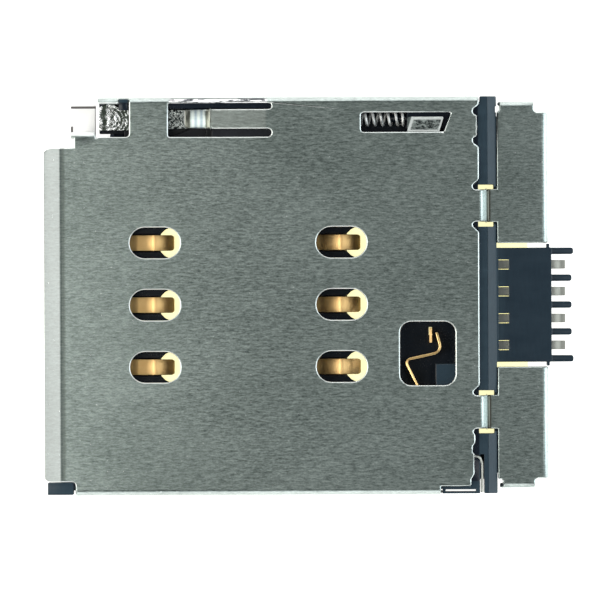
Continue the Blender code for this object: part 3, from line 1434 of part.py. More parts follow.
def push_at(depth):
    """How far the slider has gone in when the follower has swung this far sideways."""
    return TRAVEL * math.asin(depth / CRANK_REACH) / CRANK_SWING


def heart_track():
    """The heart-shaped groove: the loop that the pin's edge runs inside, and the island with the
    notch that holds the pin when the card is locked."""
    far = follower_at(TRAVEL)
    left = far[0] - TRACK_HALF
    top = CAM_Y + TRACK_HALF
    outer = arc((FOLLOWER_X, CAM_Y), TRACK_HALF, -math.pi / 2, math.pi / 2, 8)
    outer += [(left + TRACK_HALF, top), (left, top - TRACK_HALF)]
    outer += arc(far, TRACK_HALF, math.pi, 1.45 * math.pi, 5)
    outer += follower_line(TRAVEL, 0.05 * MM, TRACK_HALF)[1:]

    notch = (FOLLOWER_X + LOCK_RETURN - TRAVEL + 0.17 * MM, CAM_Y - 0.37 * MM)
    island_top = CAM_Y - TRACK_HALF
    island = [(notch[0] - 0.12 * MM, island_top), notch]
    island += follower_line(2.10 * MM, push_at(2 * TRACK_HALF + ISLAND_EDGE), -TRACK_HALF, 8)
    island.append((FOLLOWER_X - 0.90 * MM, island_top))
    return [outer, island]


def make_slider(parts, helpers):
    material = principled("slider_plastic", (0.022, 0.024, 0.027), 0.40, 0.0)
    side = BAY_HIGH_Y - RUN_GAP
    low = BAY_LOW_Y + RUN_GAP
    toe_y = low - TOE_REACH
    corner = 0.10 * MM
    outline = rounded(
        [
            (SLIDER_FRONT_X, low, corner),
            (TOE_FACE_X + TOE_RELIEF, low),
            (TOE_FACE_X + TOE_RELIEF, CARD_HIGH_Y),
            (TOE_FACE_X, CARD_HIGH_Y),
            (TOE_FACE_X, toe_y, corner),
            (SLIDER_REAR_X, toe_y, corner),
            (SLIDER_REAR_X, SLIDER_STEP_Y, corner),
            (SPRING_FACE_X, SLIDER_STEP_Y),
            (SPRING_FACE_X, side),
            (SLIDER_FRONT_X, side, corner),
        ]
    )
    body = prism("slider", [outline], SLIDER_BOTTOM, SLIDER_TOP)
    slider = put("slider", body, parts, material)
    cutters = collection("slider_cutters", helpers)
    put_box(
        "cam_deck",
        (SLIDER_FRONT_X - MM, DECK_END_X),
        (DECK_LOW_Y, side + MM),
        (CAM_DECK_TOP, THROUGH),
        cutters,
    )
    track = prism("heart_track", heart_track(), TRACK_FLOOR, CAM_DECK_TOP + 0.1 * MM)
    put("heart_track", track, cutters)
    joined = collection("slider_joined", helpers)
    peg = cylinder(
        "spring_peg",
        (SPRING_Y, SPRING_Z),
        SPRING_PEG_DIAMETER / 2,
        SPRING_FACE_X - 0.30 * MM,
        SPRING_FACE_X + SPRING_PEG_LENGTH,
        "X",
    )
    put("spring_peg", peg, joined)
    return [(slider, "DIFFERENCE", cutters), (slider, "UNION", joined)]


def make_crank(parts, helpers):
    material = principled("crank_steel", (0.55, 0.52, 0.47), 0.35, 1.0)
    half = CRANK_WIDTH / 2
    meet = math.asin(half / CRANK_EYE_RADIUS)
    side = CRANK_EYE_SETBACK
    leave = math.pi - math.acos(side / CRANK_EYE_RADIUS)
    outline = arc((0, 0), CRANK_EYE_RADIUS, meet, leave, 12)
    outline += rounded([outline[-1], (-side, -side, 0.08 * MM), (0.86 * MM, -side)], closed=False)[1:]
    outline.append((0.96 * MM, -half))
    outline += arc((CRANK_REACH, 0), half, -math.pi / 2, math.pi / 2, 10)
    plate = prism("cam_crank", [outline], CRANK_UNDERSIDE, CRANK_TOP)
    crank = put("cam_crank", plate, parts, material, (PIVOT_X, CAM_Y, 0))
    pins = collection("crank_pins", helpers)
    middle = (CRANK_UNDERSIDE + CRANK_TOP) / 2
    pivot_low = FLOOR_TOP + 0.05 * MM
    pivot = cylinder("pivot_pin", (0, 0), PIVOT_PIN_RADIUS, pivot_low, middle)
    put("pivot_pin", pivot, pins, location=(PIVOT_X, CAM_Y, 0))
    follower = cylinder(
        "follower_pin",
        (CRANK_REACH, 0),
        FOLLOWER_RADIUS,
        TRACK_FLOOR + RUN_GAP,
        middle,
    )
    put("follower_pin", follower, pins, location=(PIVOT_X, CAM_Y, 0))
    return [(crank, "UNION", pins)]


def make_eject_spring(parts):
    """A coil with open turns between two closed ones at each end."""
    material = principled("spring_steel", (0.50, 0.50, 0.48), 0.30, 1.0)
    curve = bpy.data.curves.new("eject_spring", "CURVE")
    curve.dimensions = "3D"
    curve.bevel_depth = SPRING_WIRE / 2 / MM
    curve.bevel_resolution = 1
    curve.use_fill_caps = True
    wire_gap = SPRING_WIRE + 0.01 * MM
    start = SPRING_FACE_X + SPRING_WIRE / 2 + FIT_GAP
    end = SPRING_SEAT_X - SPRING_WIRE / 2 - FIT_GAP
    open_turns = SPRING_TURNS - 2
    pitch = (end - start - 2 * wire_gap) / open_turns
    radius = (SPRING_DIAMETER - SPRING_WIRE) / 2
    points = []
    count = SPRING_TURNS * SPRING_POINTS_PER_TURN
    for index in range(count + 1):
        turn = index / SPRING_POINTS_PER_TURN
        closed = min(turn, 1.0) + max(turn - SPRING_TURNS + 1, 0.0)
        x = start + closed * wire_gap + (turn - closed) * pitch
        angle = 2 * math.pi * turn
        points.append((x, SPRING_Y + radius * math.cos(angle), SPRING_Z + radius * math.sin(angle)))
    spline = curve.splines.new("POLY")
    spline.points.add(count)
    for point, place in zip(spline.points, points):
        point.co = (*(value / MM for value in place), 1)
    mesh = evaluated_mesh(bpy.data.objects.new("eject_spring", curve), Matrix.Scale(MM, 4))
    mesh.name = "eject_spring"
    smooth(mesh)
    put("eject_spring", mesh, parts, material)


def reset_scene():
    for thing in list(bpy.data.objects):
        bpy.data.objects.remove(thing)
    parts = collection(COLLECTION, bpy.context.scene.collection)
    helpers = collection("cutters", bpy.context.scene.collection)
    return parts, helpers


def main():
    parts, helpers = reset_scene()
    steps = make_shell(parts, helpers)
    steps += make_base(parts, helpers)
    for name, (x, y) in CONTACTS.items():
        steps += make_contact(name, x, y, parts, helpers)
    steps += make_switch(parts, helpers)
    steps += make_slider(parts, helpers)
    steps += make_crank(parts, helpers)
    make_eject_spring(parts)
    # The Booleans go on last, or Blender would work them out again for every curve above
    for target, operation, group in steps:
        combine(target, operation, group)


main()
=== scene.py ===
# %% [markdown]
# # Dressing a push-push card socket
#
# The solid model of the socket is finished before this script starts. It comes in as a fixed
# frame, and each of its pieces keeps its place. What is left is the looks: a camera where the
# picture was taken, soft light, and finishes that show rolled steel, moulded plastic and plated
# strip. Where a piece is too plain for a close look, a finer one is modelled over it.

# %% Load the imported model
import json
import math

import bmesh
import bpy
from mathutils import Matrix, Vector


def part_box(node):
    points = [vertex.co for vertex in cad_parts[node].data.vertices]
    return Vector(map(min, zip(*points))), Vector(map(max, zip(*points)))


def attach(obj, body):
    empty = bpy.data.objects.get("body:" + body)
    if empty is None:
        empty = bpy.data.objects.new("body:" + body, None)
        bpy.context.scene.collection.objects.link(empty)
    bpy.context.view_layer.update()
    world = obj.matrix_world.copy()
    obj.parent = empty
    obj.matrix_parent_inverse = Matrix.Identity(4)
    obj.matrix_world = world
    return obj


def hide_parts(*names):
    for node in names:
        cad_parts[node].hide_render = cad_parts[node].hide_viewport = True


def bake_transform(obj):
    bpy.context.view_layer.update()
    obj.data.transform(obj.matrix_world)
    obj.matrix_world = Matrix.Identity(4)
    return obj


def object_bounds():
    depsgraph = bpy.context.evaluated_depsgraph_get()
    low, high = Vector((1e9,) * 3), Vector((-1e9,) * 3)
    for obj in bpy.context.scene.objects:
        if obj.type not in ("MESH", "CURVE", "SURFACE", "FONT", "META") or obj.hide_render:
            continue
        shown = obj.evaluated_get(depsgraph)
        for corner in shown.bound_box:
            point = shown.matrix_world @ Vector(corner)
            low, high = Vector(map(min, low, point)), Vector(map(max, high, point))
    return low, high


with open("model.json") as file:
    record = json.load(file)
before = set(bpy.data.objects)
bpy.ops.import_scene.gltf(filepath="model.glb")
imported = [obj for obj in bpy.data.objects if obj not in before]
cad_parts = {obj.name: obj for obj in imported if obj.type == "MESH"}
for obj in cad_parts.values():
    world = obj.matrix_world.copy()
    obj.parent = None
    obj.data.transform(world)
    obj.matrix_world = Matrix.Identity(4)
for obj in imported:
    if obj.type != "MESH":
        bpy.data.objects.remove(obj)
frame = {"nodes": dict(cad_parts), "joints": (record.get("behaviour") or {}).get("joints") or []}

MM = 0.001
solid_low, solid_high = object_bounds()
print("pieces:", ", ".join(sorted(frame["nodes"])))
print("size in mm:", [round(side / MM, 2) for side in solid_high - solid_low])

# %% [markdown]
# ## The camera
#
# The real socket lies flat and is seen from straight above. A long lens far away keeps the
# walls from leaning outwards at the picture's edge, much as a copy stand does. Its distance
# follows from the size of one pixel: the card contacts stand 7.62 mm apart in two columns,
# and that distance gives 24.5 pixels to a millimetre.

# %% Place the camera
PICTURE_SIDE = 600  # pixels
PIXELS_PER_MM = 24.5
PICTURE_MIDDLE = (-0.332 * MM, -0.167 * MM)  # the point of the part in the middle of the picture
PICTURE_TURN = -0.25  # degrees
LENS = 600
SENSOR = 36
NEAREST, FARTHEST = 0.01, 10  # what the camera sees, in metres

seen = PICTURE_SIDE / PIXELS_PER_MM * MM
distance = seen * LENS / SENSOR
bpy.ops.object.select_all(action="DESELECT")
bpy.ops.object.camera_add(
    location=(*PICTURE_MIDDLE, solid_high.z + distance),
    rotation=(0, 0, math.radians(PICTURE_TURN)),
)
camera = bpy.context.object
camera.name = "camera"
camera.data.lens = LENS
camera.data.sensor_width = SENSOR
camera.data.clip_start = NEAREST
camera.data.clip_end = FARTHEST
bpy.context.scene.camera = camera
bpy.context.scene.view_settings.view_transform = "Standard"
print("camera distance in mm:", round(distance / MM))

# %% [markdown]
# ## The floor
#
# Small parts are often photographed on a sheet of white glass that is lit from below, so that
# no shadow falls beside them and every slot shows light. The floor here glows in the same way.
# It is stage, not part of the object.

# %% Lay the floor
FLOOR_SIDE = 1.5  # metres
FLOOR_DROP = 0.02 * MM  # how far it lies under the part


def glowing(name, paper, glow, roughness):
    """A material for the stage that shines by itself."""
    material = bpy.data.materials.new(name)
    material.use_nodes = True
    shader = material.node_tree.nodes["Principled BSDF"]
    shader.inputs["Base Color"].default_value = (*paper, 1)
    shader.inputs["Roughness"].default_value = roughness
    shader.inputs["Emission Color"].default_value = (*glow, 1)
    shader.inputs["Emission Strength"].default_value = 1.0
    return material


def lay_floor(side, drop):
    bpy.ops.object.select_all(action="DESELECT")
    bpy.ops.mesh.primitive_plane_add(size=side, location=(0, 0, -drop))
    floor = bpy.context.object
    floor.name = "floor"
    floor.data.materials.append(glowing("pale_floor", (0.80, 0.80, 0.79), (1.0, 0.995, 0.97), 0.9))


lay_floor(FLOOR_SIDE, FLOOR_DROP)
print("floor", FLOOR_SIDE, "m wide")

# %% [markdown]
# Light that comes up through the part's small holes is warmer than the sheet itself, because it
# has passed the gold and the edges of the strip. A strip of cream film under the part gives the
# holes that tint. It is smaller than the part, so that nothing of it shows beside it.

# %% Lay the film under the part
FILM_LOW, FILM_HIGH = (-6.6, -7.0), (9.0, 7.0)  # its corners, in millimetres
FILM_DROP = 0.01 * MM
CREAM = (1.0, 0.95, 0.55)


def lay_film(low, high, drop, tint):
    bpy.ops.object.select_all(action="DESELECT")
    middle = [(a + b) / 2 * MM for a, b in zip(low, high)]
    bpy.ops.mesh.primitive_plane_add(size=1, location=(*middle, -drop))
    film = bpy.context.object
    film.name = "cream_film"
    film.scale = ((high[0] - low[0]) * MM, (high[1] - low[1]) * MM, 1)
    film.data.materials.append(glowing("cream_film", tint, tint, 0.5))


lay_film(FILM_LOW, FILM_HIGH, FILM_DROP, CREAM)
print("film from", FILM_LOW, "to", FILM_HIGH)

# %% [markdown]
# ## The light
#
# Flat sheet metal seen from straight above mirrors what hangs over it, and every bend mirrors
# what stands beside it. In the picture the flat plate is a middle grey and the bends are nearly
# white, so the light stands round the part and little of it hangs above. One low panel over the
# mouth makes that end of the plate paler, and a small high one lights the flared lip. A panel's
# strength is given as the brightness of its face, which doesn't change when the panel grows.

# %% Set up the studio
def panel(name, place, side, brightness, tint=(1, 1, 1)):
    """A square area light at a place in millimetres, turned towards the part."""
    spot = Vector(place) * MM
    turn = (-spot).to_track_quat("-Z", "Y").to_euler()
    bpy.ops.object.select_all(action="DESELECT")
    bpy.ops.object.light_add(type="AREA", location=spot, rotation=turn)
    light = bpy.context.object
    light.name = name
    light.data.shape = "SQUARE"
    light.data.size = side * MM
    light.data.energy = brightness * math.pi * (side * MM) ** 2
    light.data.color = tint
    print(name, "shines with", round(light.data.energy, 3), "W")


def room(brightness, tint):
    world = bpy.data.worlds.new("studio")
    world.use_nodes = True
    background = world.node_tree.nodes["Background"]
    background.inputs["Color"].default_value = (*tint, 1)
    background.inputs["Strength"].default_value = brightness
    bpy.context.scene.world = world


room(0.10, (0.90, 1.0, 0.98))
panel("panel_mouth", (-145, 0, 88), 150, 4.0, (1.0, 0.98, 0.94))
panel("panel_comb", (150, 10, 70), 150, 3.4, (0.90, 1.0, 1.05))
panel("panel_front", (0, -150, 75), 130, 2.3)
panel("panel_back", (0, 150, 75), 130, 2.5)
panel("panel_over_mouth", (-30, -3, 69), 25, 4.9, (1.0, 0.99, 0.93))
panel("panel_lip", (68, 0, 180), 46, 3.3)

# %% [markdown]
# ## Writing shader sums
#
# A finish is a small sum: a bit of grain, less where a stain lies. Blender keeps such sums as
# nodes and links. The class below wraps one output socket, so that plain Python signs add the
# Math nodes, and the sum reads as it would on paper.

# %% One socket that Python's signs work on
class Wire:
    """The output socket of a node in a finish."""

    def __init__(self, finish, socket):
        self.finish = finish
        self.socket = socket

    def sum(self, operation, first, second):
        return self.finish.node("Math", {"operation": operation}, {0: first, 1: second})

    def __add__(self, other):
        return self.sum("ADD", self, other)

    def __radd__(self, other):
        return self.sum("ADD", other, self)

    def __sub__(self, other):
        return self.sum("SUBTRACT", self, other)

    def __rsub__(self, other):
        return self.sum("SUBTRACT", other, self)

    def __mul__(self, other):
        return self.sum("MULTIPLY", self, other)

    def __gt__(self, other):
        return self.sum("GREATER_THAN", self, other)

    def __lt__(self, other):
        return self.sum("LESS_THAN", self, other)


# %% [markdown]
# Every other node comes from one method, which takes the node's type, its settings and what
# goes into its sockets. Patterns are laid out in millimetres on the piece's own coordinates,
# so that they keep their size and stay on the piece when it moves.

# %% A finish, and the nodes that it is made of
class Finish:
    """A material in the making."""

    def __init__(self, name, **even):
        self.material = bpy.data.materials.new(name)
        self.material.use_nodes = True
        self.tree = self.material.node_tree
        self.shader = self.tree.nodes["Principled BSDF"]
        for socket, value in even.items():
            self.shader.inputs[socket.replace("_", " ")].default_value = value

    def node(self, kind, settings=None, sockets=None, output=0):
        node = self.tree.nodes.new("ShaderNode" + kind)
        for name, value in (settings or {}).items():
            setattr(node, name, value)
        for name, value in (sockets or {}).items():
            self.fill(self.find(node.inputs, name), value)
        return Wire(self, self.find(node.outputs, output))

    def find(self, sockets, name):
        if isinstance(name, int):
            return sockets[name]
        return next(s for s in sockets if name in (s.identifier, s.name))

    def fill(self, socket, value):
        if isinstance(value, Wire):
            self.tree.links.new(value.socket, socket)
        elif socket.type == "RGBA" and len(value) == 3:
            socket.default_value = (*value, 1)
        else:
            socket.default_value = value

    def wear(self, **sockets):
        """What changes over the surface goes into the shader's sockets."""
        for name, value in sockets.items():
            self.fill(self.shader.inputs[name.replace("_", " ")], value)
        return self.material


# %% Helpers for patterns
def laid_out(finish, per_mm, centre=(0, 0, 0)):
    """The piece's own coordinates, stretched to so many repeats in a millimetre."""
    place = finish.node("TexCoord", output="Object")
    scale = [number / MM for number in per_mm]
    move = [-number * length for number, length in zip(scale, centre)]
    return finish.node("Mapping", sockets={"Vector": place, "Location": move, "Scale": scale})


def cloudy(finish, per_mm, detail=4.0, roughness=0.55):
    where = laid_out(finish, per_mm)
    return finish.node(
        "TexNoise",
        sockets={"Vector": where, "Scale": 1.0, "Detail": detail, "Roughness": roughness},
    )


def waves(finish, angle):
    """From -1 to 1 and back, over and over as the angle grows."""
    return finish.node("Math", {"operation": "SINE"}, {0: angle})


def mixed(finish, share, first, second):
    return finish.node(
        "Mix",
        {"data_type": "RGBA"},
        {"Factor_Float": share, "A_Color": first, "B_Color": second},
        "Result_Color",
    )


def between(finish, value, low, high):
    """0 where the value is at low, 1 where it is at high, and even in between."""
    return finish.node(
        "MapRange",
        {"clamp": True},
        {"Value": value, "From Min": low, "From Max": high, "To Min": 0.0, "To Max": 1.0},
    )


def two_tone(finish, pattern, low, high, dark, pale):
    """Dark where the pattern is at low, pale where it is at high."""
    return mixed(finish, between(finish, pattern, low, high), dark, pale)


def along(finish, axis):
    """How far along an axis a point lies, in millimetres."""
    place = laid_out(finish, (1, 1, 1))
    return finish.node("SeparateXYZ", sockets={"Vector": place}, output=axis)


def dented(finish, height, depth):
    """Bumps as deep as this, in millimetres."""
    return finish.node("Bump", sockets={"Height": height, "Distance": depth * MM})


# %% [markdown]
# ## Finer pieces
#
# Real edges are never sharp. A stamped sheet has a rounded rim where the punch went in, a moulded
# edge has a small radius, and these rims catch the light, which is what draws the pale line round
# every window in the picture. Each solid gets a finer twin: a copy of its mesh with its doubles
# merged and its sharp edges bevelled. The twin stands for the solid in the picture only.
#
# Long thin faces make a bevel run wild, so the mesh is cut into well shaped triangles first, and
# flat neighbours are joined again afterwards. The shell's tongue stands in slits that are
# narrower than the bevel, so the edges there keep their corners.

# %% Round a solid's edges
SHARP = math.radians(35)  # an edge that bends more than this is bevelled
FLAT_BEFORE, FLAT_AFTER = math.radians(1), math.radians(0.3)  # faces that bend less are joined
WELD = 0.006  # points nearer than this become one, in millimetres
BEVEL_STEPS = 2
NOWHERE = ((0, 0), (0, 0))


def inside(edge, box):
    (left, front), (right, back) = box
    return all(left < v.co.x < right and front < v.co.y < back for v in edge.verts)


def finer(name, rounding, crisp=NOWHERE):
    """A twin of a solid, its edges rounded by so many millimetres.

    Edges inside the crisp box, seen from above, stay as sharp as they are.
    """
    node = frame["nodes"][name]
    twin = bpy.data.objects.new(f"{name}_finer", node.data.copy())
    bpy.context.collection.objects.link(twin)
    twin.data.transform(Matrix.Scale(1 / MM, 4))
    bpy.ops.object.select_all(action="DESELECT")
    twin.select_set(True)
    bpy.context.view_layer.objects.active = twin
    bpy.ops.object.mode_set(mode="EDIT")
    bpy.ops.mesh.select_all(action="SELECT")
    bpy.ops.mesh.remove_doubles(threshold=WELD)
    bpy.ops.mesh.normals_make_consistent(inside=False)
    bpy.ops.mesh.dissolve_limited(angle_limit=FLAT_BEFORE)
    bpy.ops.mesh.quads_convert_to_tris(quad_method="BEAUTY", ngon_method="BEAUTY")
    shape = bmesh.from_edit_mesh(twin.data)
    for edge in shape.edges:
        sharp = edge.is_manifold and edge.calc_face_angle() > SHARP
        edge.select = sharp and not inside(edge, crisp)
    bmesh.update_edit_mesh(twin.data)
    bpy.ops.mesh.bevel(
        offset=rounding,
        segments=BEVEL_STEPS,
        affect="EDGES",
        clamp_overlap=False,
        loop_slide=False,
    )
    bpy.ops.mesh.select_all(action="SELECT")
    bpy.ops.mesh.dissolve_limited(angle_limit=FLAT_AFTER)
    shape = bmesh.from_edit_mesh(twin.data)
    for edge in shape.edges:
        edge.smooth = not inside(edge, crisp)
    bmesh.update_edit_mesh(twin.data)
    bpy.ops.object.mode_set(mode="OBJECT")
    twin.data.transform(Matrix.Scale(MM, 4))
    bpy.ops.object.shade_smooth(keep_sharp_edges=True)
    flat = twin.modifiers.new("flat_faces_stay_flat", "WEIGHTED_NORMAL")
    flat.keep_sharp = True
    bpy.ops.object.modifier_apply(modifier=flat.name)
    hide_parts(name)
    return twin


# %% Make the twins
STRIPS = ("switch_spring", "switch_blade") + tuple(
    f"contact_{row}" for row in ("c1", "c2", "c3", "c5", "c6", "c7")
)
ROUNDINGS = {
    "shell": 0.062,
    "base_housing": 0.025,
    "slider": 0.025,
    "cam_crank": 0.03,
    **dict.fromkeys(STRIPS, 0.02),
}
TONGUE_BOX = ((3.95, 6.55), (5.70, 7.40))
CRISP_BOXES = {"shell": TONGUE_BOX}

twins = {}
for name, rounding in ROUNDINGS.items():
    twins[name] = finer(name, rounding, CRISP_BOXES.get(name, NOWHERE))
    print(name, "now has", len(twins[name].data.polygons), "faces")

# %% [markdown]
# The solid of the coil spring is a plain tube with few sides. Its twin is drawn again from the same
# facts, sixteen turns of wire with one closed turn at each end, round enough for a close look. It
# shortens when the slider is pushed in.

# %% Wind the spring
SPRING_WIRE = 0.11 * MM
SPRING_TURNS = 16
CLOSED_PITCH = 1.09  # a closed turn lies almost on its neighbour, in wire widths
POINTS_PER_TURN = 28
WIRE_ROUNDNESS = 3


def wind_spring(low, high, wire, turns):
    """A coil along X that fills the box of the solid."""
    curve = bpy.data.curves.new("coil", "CURVE")
    curve.dimensions = "3D"
    curve.bevel_depth = wire / 2 / MM
    curve.bevel_resolution = WIRE_ROUNDNESS
    curve.use_fill_caps = True
    middle = (low + high) / 2
    radius = (high.z - low.z - wire) / 2
    start, end = low.x + wire / 2, high.x - wire / 2
    closed = wire * CLOSED_PITCH
    pitch = (end - start - 2 * closed) / (turns - 2)
    spline = curve.splines.new("POLY")
    spline.points.add(turns * POINTS_PER_TURN)
    for index, point in enumerate(spline.points):
        turn = index / POINTS_PER_TURN
        dead = min(turn, 1.0) + max(turn - turns + 1, 0.0)
        x = start + dead * closed + (turn - dead) * pitch
        angle = 2 * math.pi * turn
        y, z = middle.y + radius * math.cos(angle), middle.z + radius * math.sin(angle)
        point.co = (x / MM, y / MM, z / MM, 1)
    coil = bpy.data.objects.new("spring_coil", curve)
    bpy.context.collection.objects.link(coil)
    bpy.ops.object.select_all(action="DESELECT")
    coil.select_set(True)
    bpy.context.view_layer.objects.active = coil
    bpy.ops.object.convert(target="MESH")
    coil = bpy.context.object
    coil.data.transform(Matrix.Scale(MM, 4))
    bpy.ops.object.shade_smooth()
    return coil


spring_low, spring_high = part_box("eject_spring")
coil = wind_spring(spring_low, spring_high, SPRING_WIRE, SPRING_TURNS)
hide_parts("eject_spring")
print("spring faces:", len(coil.data.polygons))

# %% [markdown]
# ## Places on a piece
#
# One sheet or one moulding looks different from place to place, mostly through the light: a bend is
# darker, a fold flashes bright and dark, a rim shines. Much of that light and shade is painted into
# the colour here, and painting such places needs masks that are 1 on the place and 0 off it.
# They are made from the coordinates, so that they need no picture and no unwrapping.

# %% Masks
SHEER = (0.04, 0.14)  # how much a face looks up or down, between a wall and a slant
CORE = 0.4  # the part of a speck that is bright all over


def specks(finish, per_mm, size, share):
    """Small round spots, in only a share of the cells."""
    where = laid_out(finish, (per_mm, per_mm, per_mm))
    sockets = {"Vector": where, "Scale": 1.0}
    away = finish.node("TexVoronoi", sockets=sockets)
    chance = finish.node("TexVoronoi", sockets=sockets, output="Color")
    chosen = finish.node("SeparateColor", sockets={"Color": chance}) < share
    return (1 - between(finish, away, size * CORE, size)) * chosen


def within(finish, distance, limits, soft):
    """1 between two limits in millimetres, 0 outside, with a soft step at each."""
    low, high = limits
    rise = between(finish, distance, low - soft, low + soft)
    fall = between(finish, distance, high + soft, high - soft)
    return rise * fall


def patch(finish, x, y, place):
    """1 on a patch that is seen from above: limits along X, limits along Y, both softnesses."""
    limits_x, limits_y, (soft_x, soft_y) = place
    return within(finish, x, limits_x, soft_x) * within(finish, y, limits_y, soft_y)


def slanted(finish, low, high):
    """1 on rims and folds, 0 on faces that look straight up, down or sideways."""
    facing = finish.node("TexCoord", output="Normal")
    tilt = finish.node("SeparateXYZ", sockets={"Vector": facing}, output="Z")
    upright = finish.node("Math", {"operation": "ABSOLUTE"}, {0: tilt})
    return between(finish, upright, high, low) * between(finish, upright, *SHEER)


# %% [markdown]
# ## Rolled steel
#
# The shell is stamped from stainless strip. Rolling leaves short fine streaks along the strip, here
# along the card's way in. The streaks are a noise that is stretched along X. Tiny bright specks
# between them are painted glints. Painted highlights lie on the punched rims and the flared lip,
# and the finger is painted paler. The bend at the mouth, the step at the rear, the finger's tip and
# its crease are painted darker, a painted shade, and the tip's edge gets a painted highlight. The
# solder foot is painted near-white and matte, a painted highlight, with painted shadow lines along
# two of its edges. The finger's bend has painted stripes of reflection, the tongue a painted mottle
# of shade and reflection with painted highlights round its edges, and the fold beside the finger
# painted bright and dark patches of reflection with a dark line of painted shade.

# %% Where light and shade are painted on the shell
# Each patch has its limits along X, its limits along Y and how soft the two are, in millimetres.
FINGER_Y = (6.7, 7.65)  # between the finger's two slots
SHELL_PATCHES = {
    # Painted highlight: the finger is painted paler than the plate.
    "finger": ((-3.95, -1.70), FINGER_Y, (0.05, 0.02)),
    # Painted shade along the finger's crease.
    "finger_crease_shade": ((-4.15, -3.97), FINGER_Y, (0.02, 0.02)),
    # Painted stripes of reflection on the finger's bend.
    "finger_bend": ((-4.76, -4.17), FINGER_Y, (0.03, 0.02)),
    # Round the finger's bend the painted rim highlight is weakened.
    "round_the_bend": ((-4.90, -3.90), (6.7, 7.60), (0.02, 0.02)),
    # Painted shade on the finger's tip.
    "finger_tip": ((-5.02, -4.78), FINGER_Y, (0.04, 0.02)),
    # Painted highlight along the edge of the finger's tip.
    "tip_edge_highlight": ((-5.12, -5.045), FINGER_Y, (0.01, 0.02)),
    # Painted shade on the bend at the mouth.
    "mouth_bend_shade": ((-10.12, -9.93), (-7.5, 6.1), (0.05, 0.02)),
    # Painted highlight: the solder foot is painted near-white and matte.
    "foot": ((-12.0, -8.60), (6.4, 9.0), (0.01, 0.02)),
    # Painted shadow lines along two edges of the foot.
    "foot_back_shade": ((-9.70, -8.62), (7.705, 7.80), (0.01, 0.01)),
    "foot_left_shade": ((-9.72, -9.59), (6.42, 6.98), (0.01, 0.02)),
    # Painted bright and dark patches of reflection on the fold beside the finger.
    "fold_glare": ((-5.65, -1.65), (7.85, 8.07), (0.04, 0.01)),
    # A dark line of painted shade along that fold.
    "fold_shade_line": ((-5.60, -1.70), (8.055, 8.085), (0.04, 0.01)),
}
LIP_X, LIP_SOFT = (-12.0, -10.13), 0.03
REAR_STEP_X, REAR_STEP_SOFT = (7.30, 7.47), 0.03
# Behind REAR_X the painted rim highlight is weaker.
REAR_X = 7.0  # behind this the rims are duller
BACK_FOLD_Y, FRONT_FOLD_Y = (7.93, 7.97), (-7.75, -7.80)  # the plate turns into the side walls
RIM_Z, FOOT_Z, FINGER_Z = 0.5, 0.6, 1.1  # rims and finger lie above, the foot below these
TONGUE_ROOT, TONGUE_LEAN = 6.68, 0.31  # the tongue's ends lean to +X as they go back from here
TONGUE = ((4.06, 5.41), (6.70, 7.29), (0.01, 0.01))
TONGUE_MIDDLE = ((4.18, 5.31), (6.76, 7.18), (0.03, 0.03))
print("places on the shell:", len(SHELL_PATCHES))

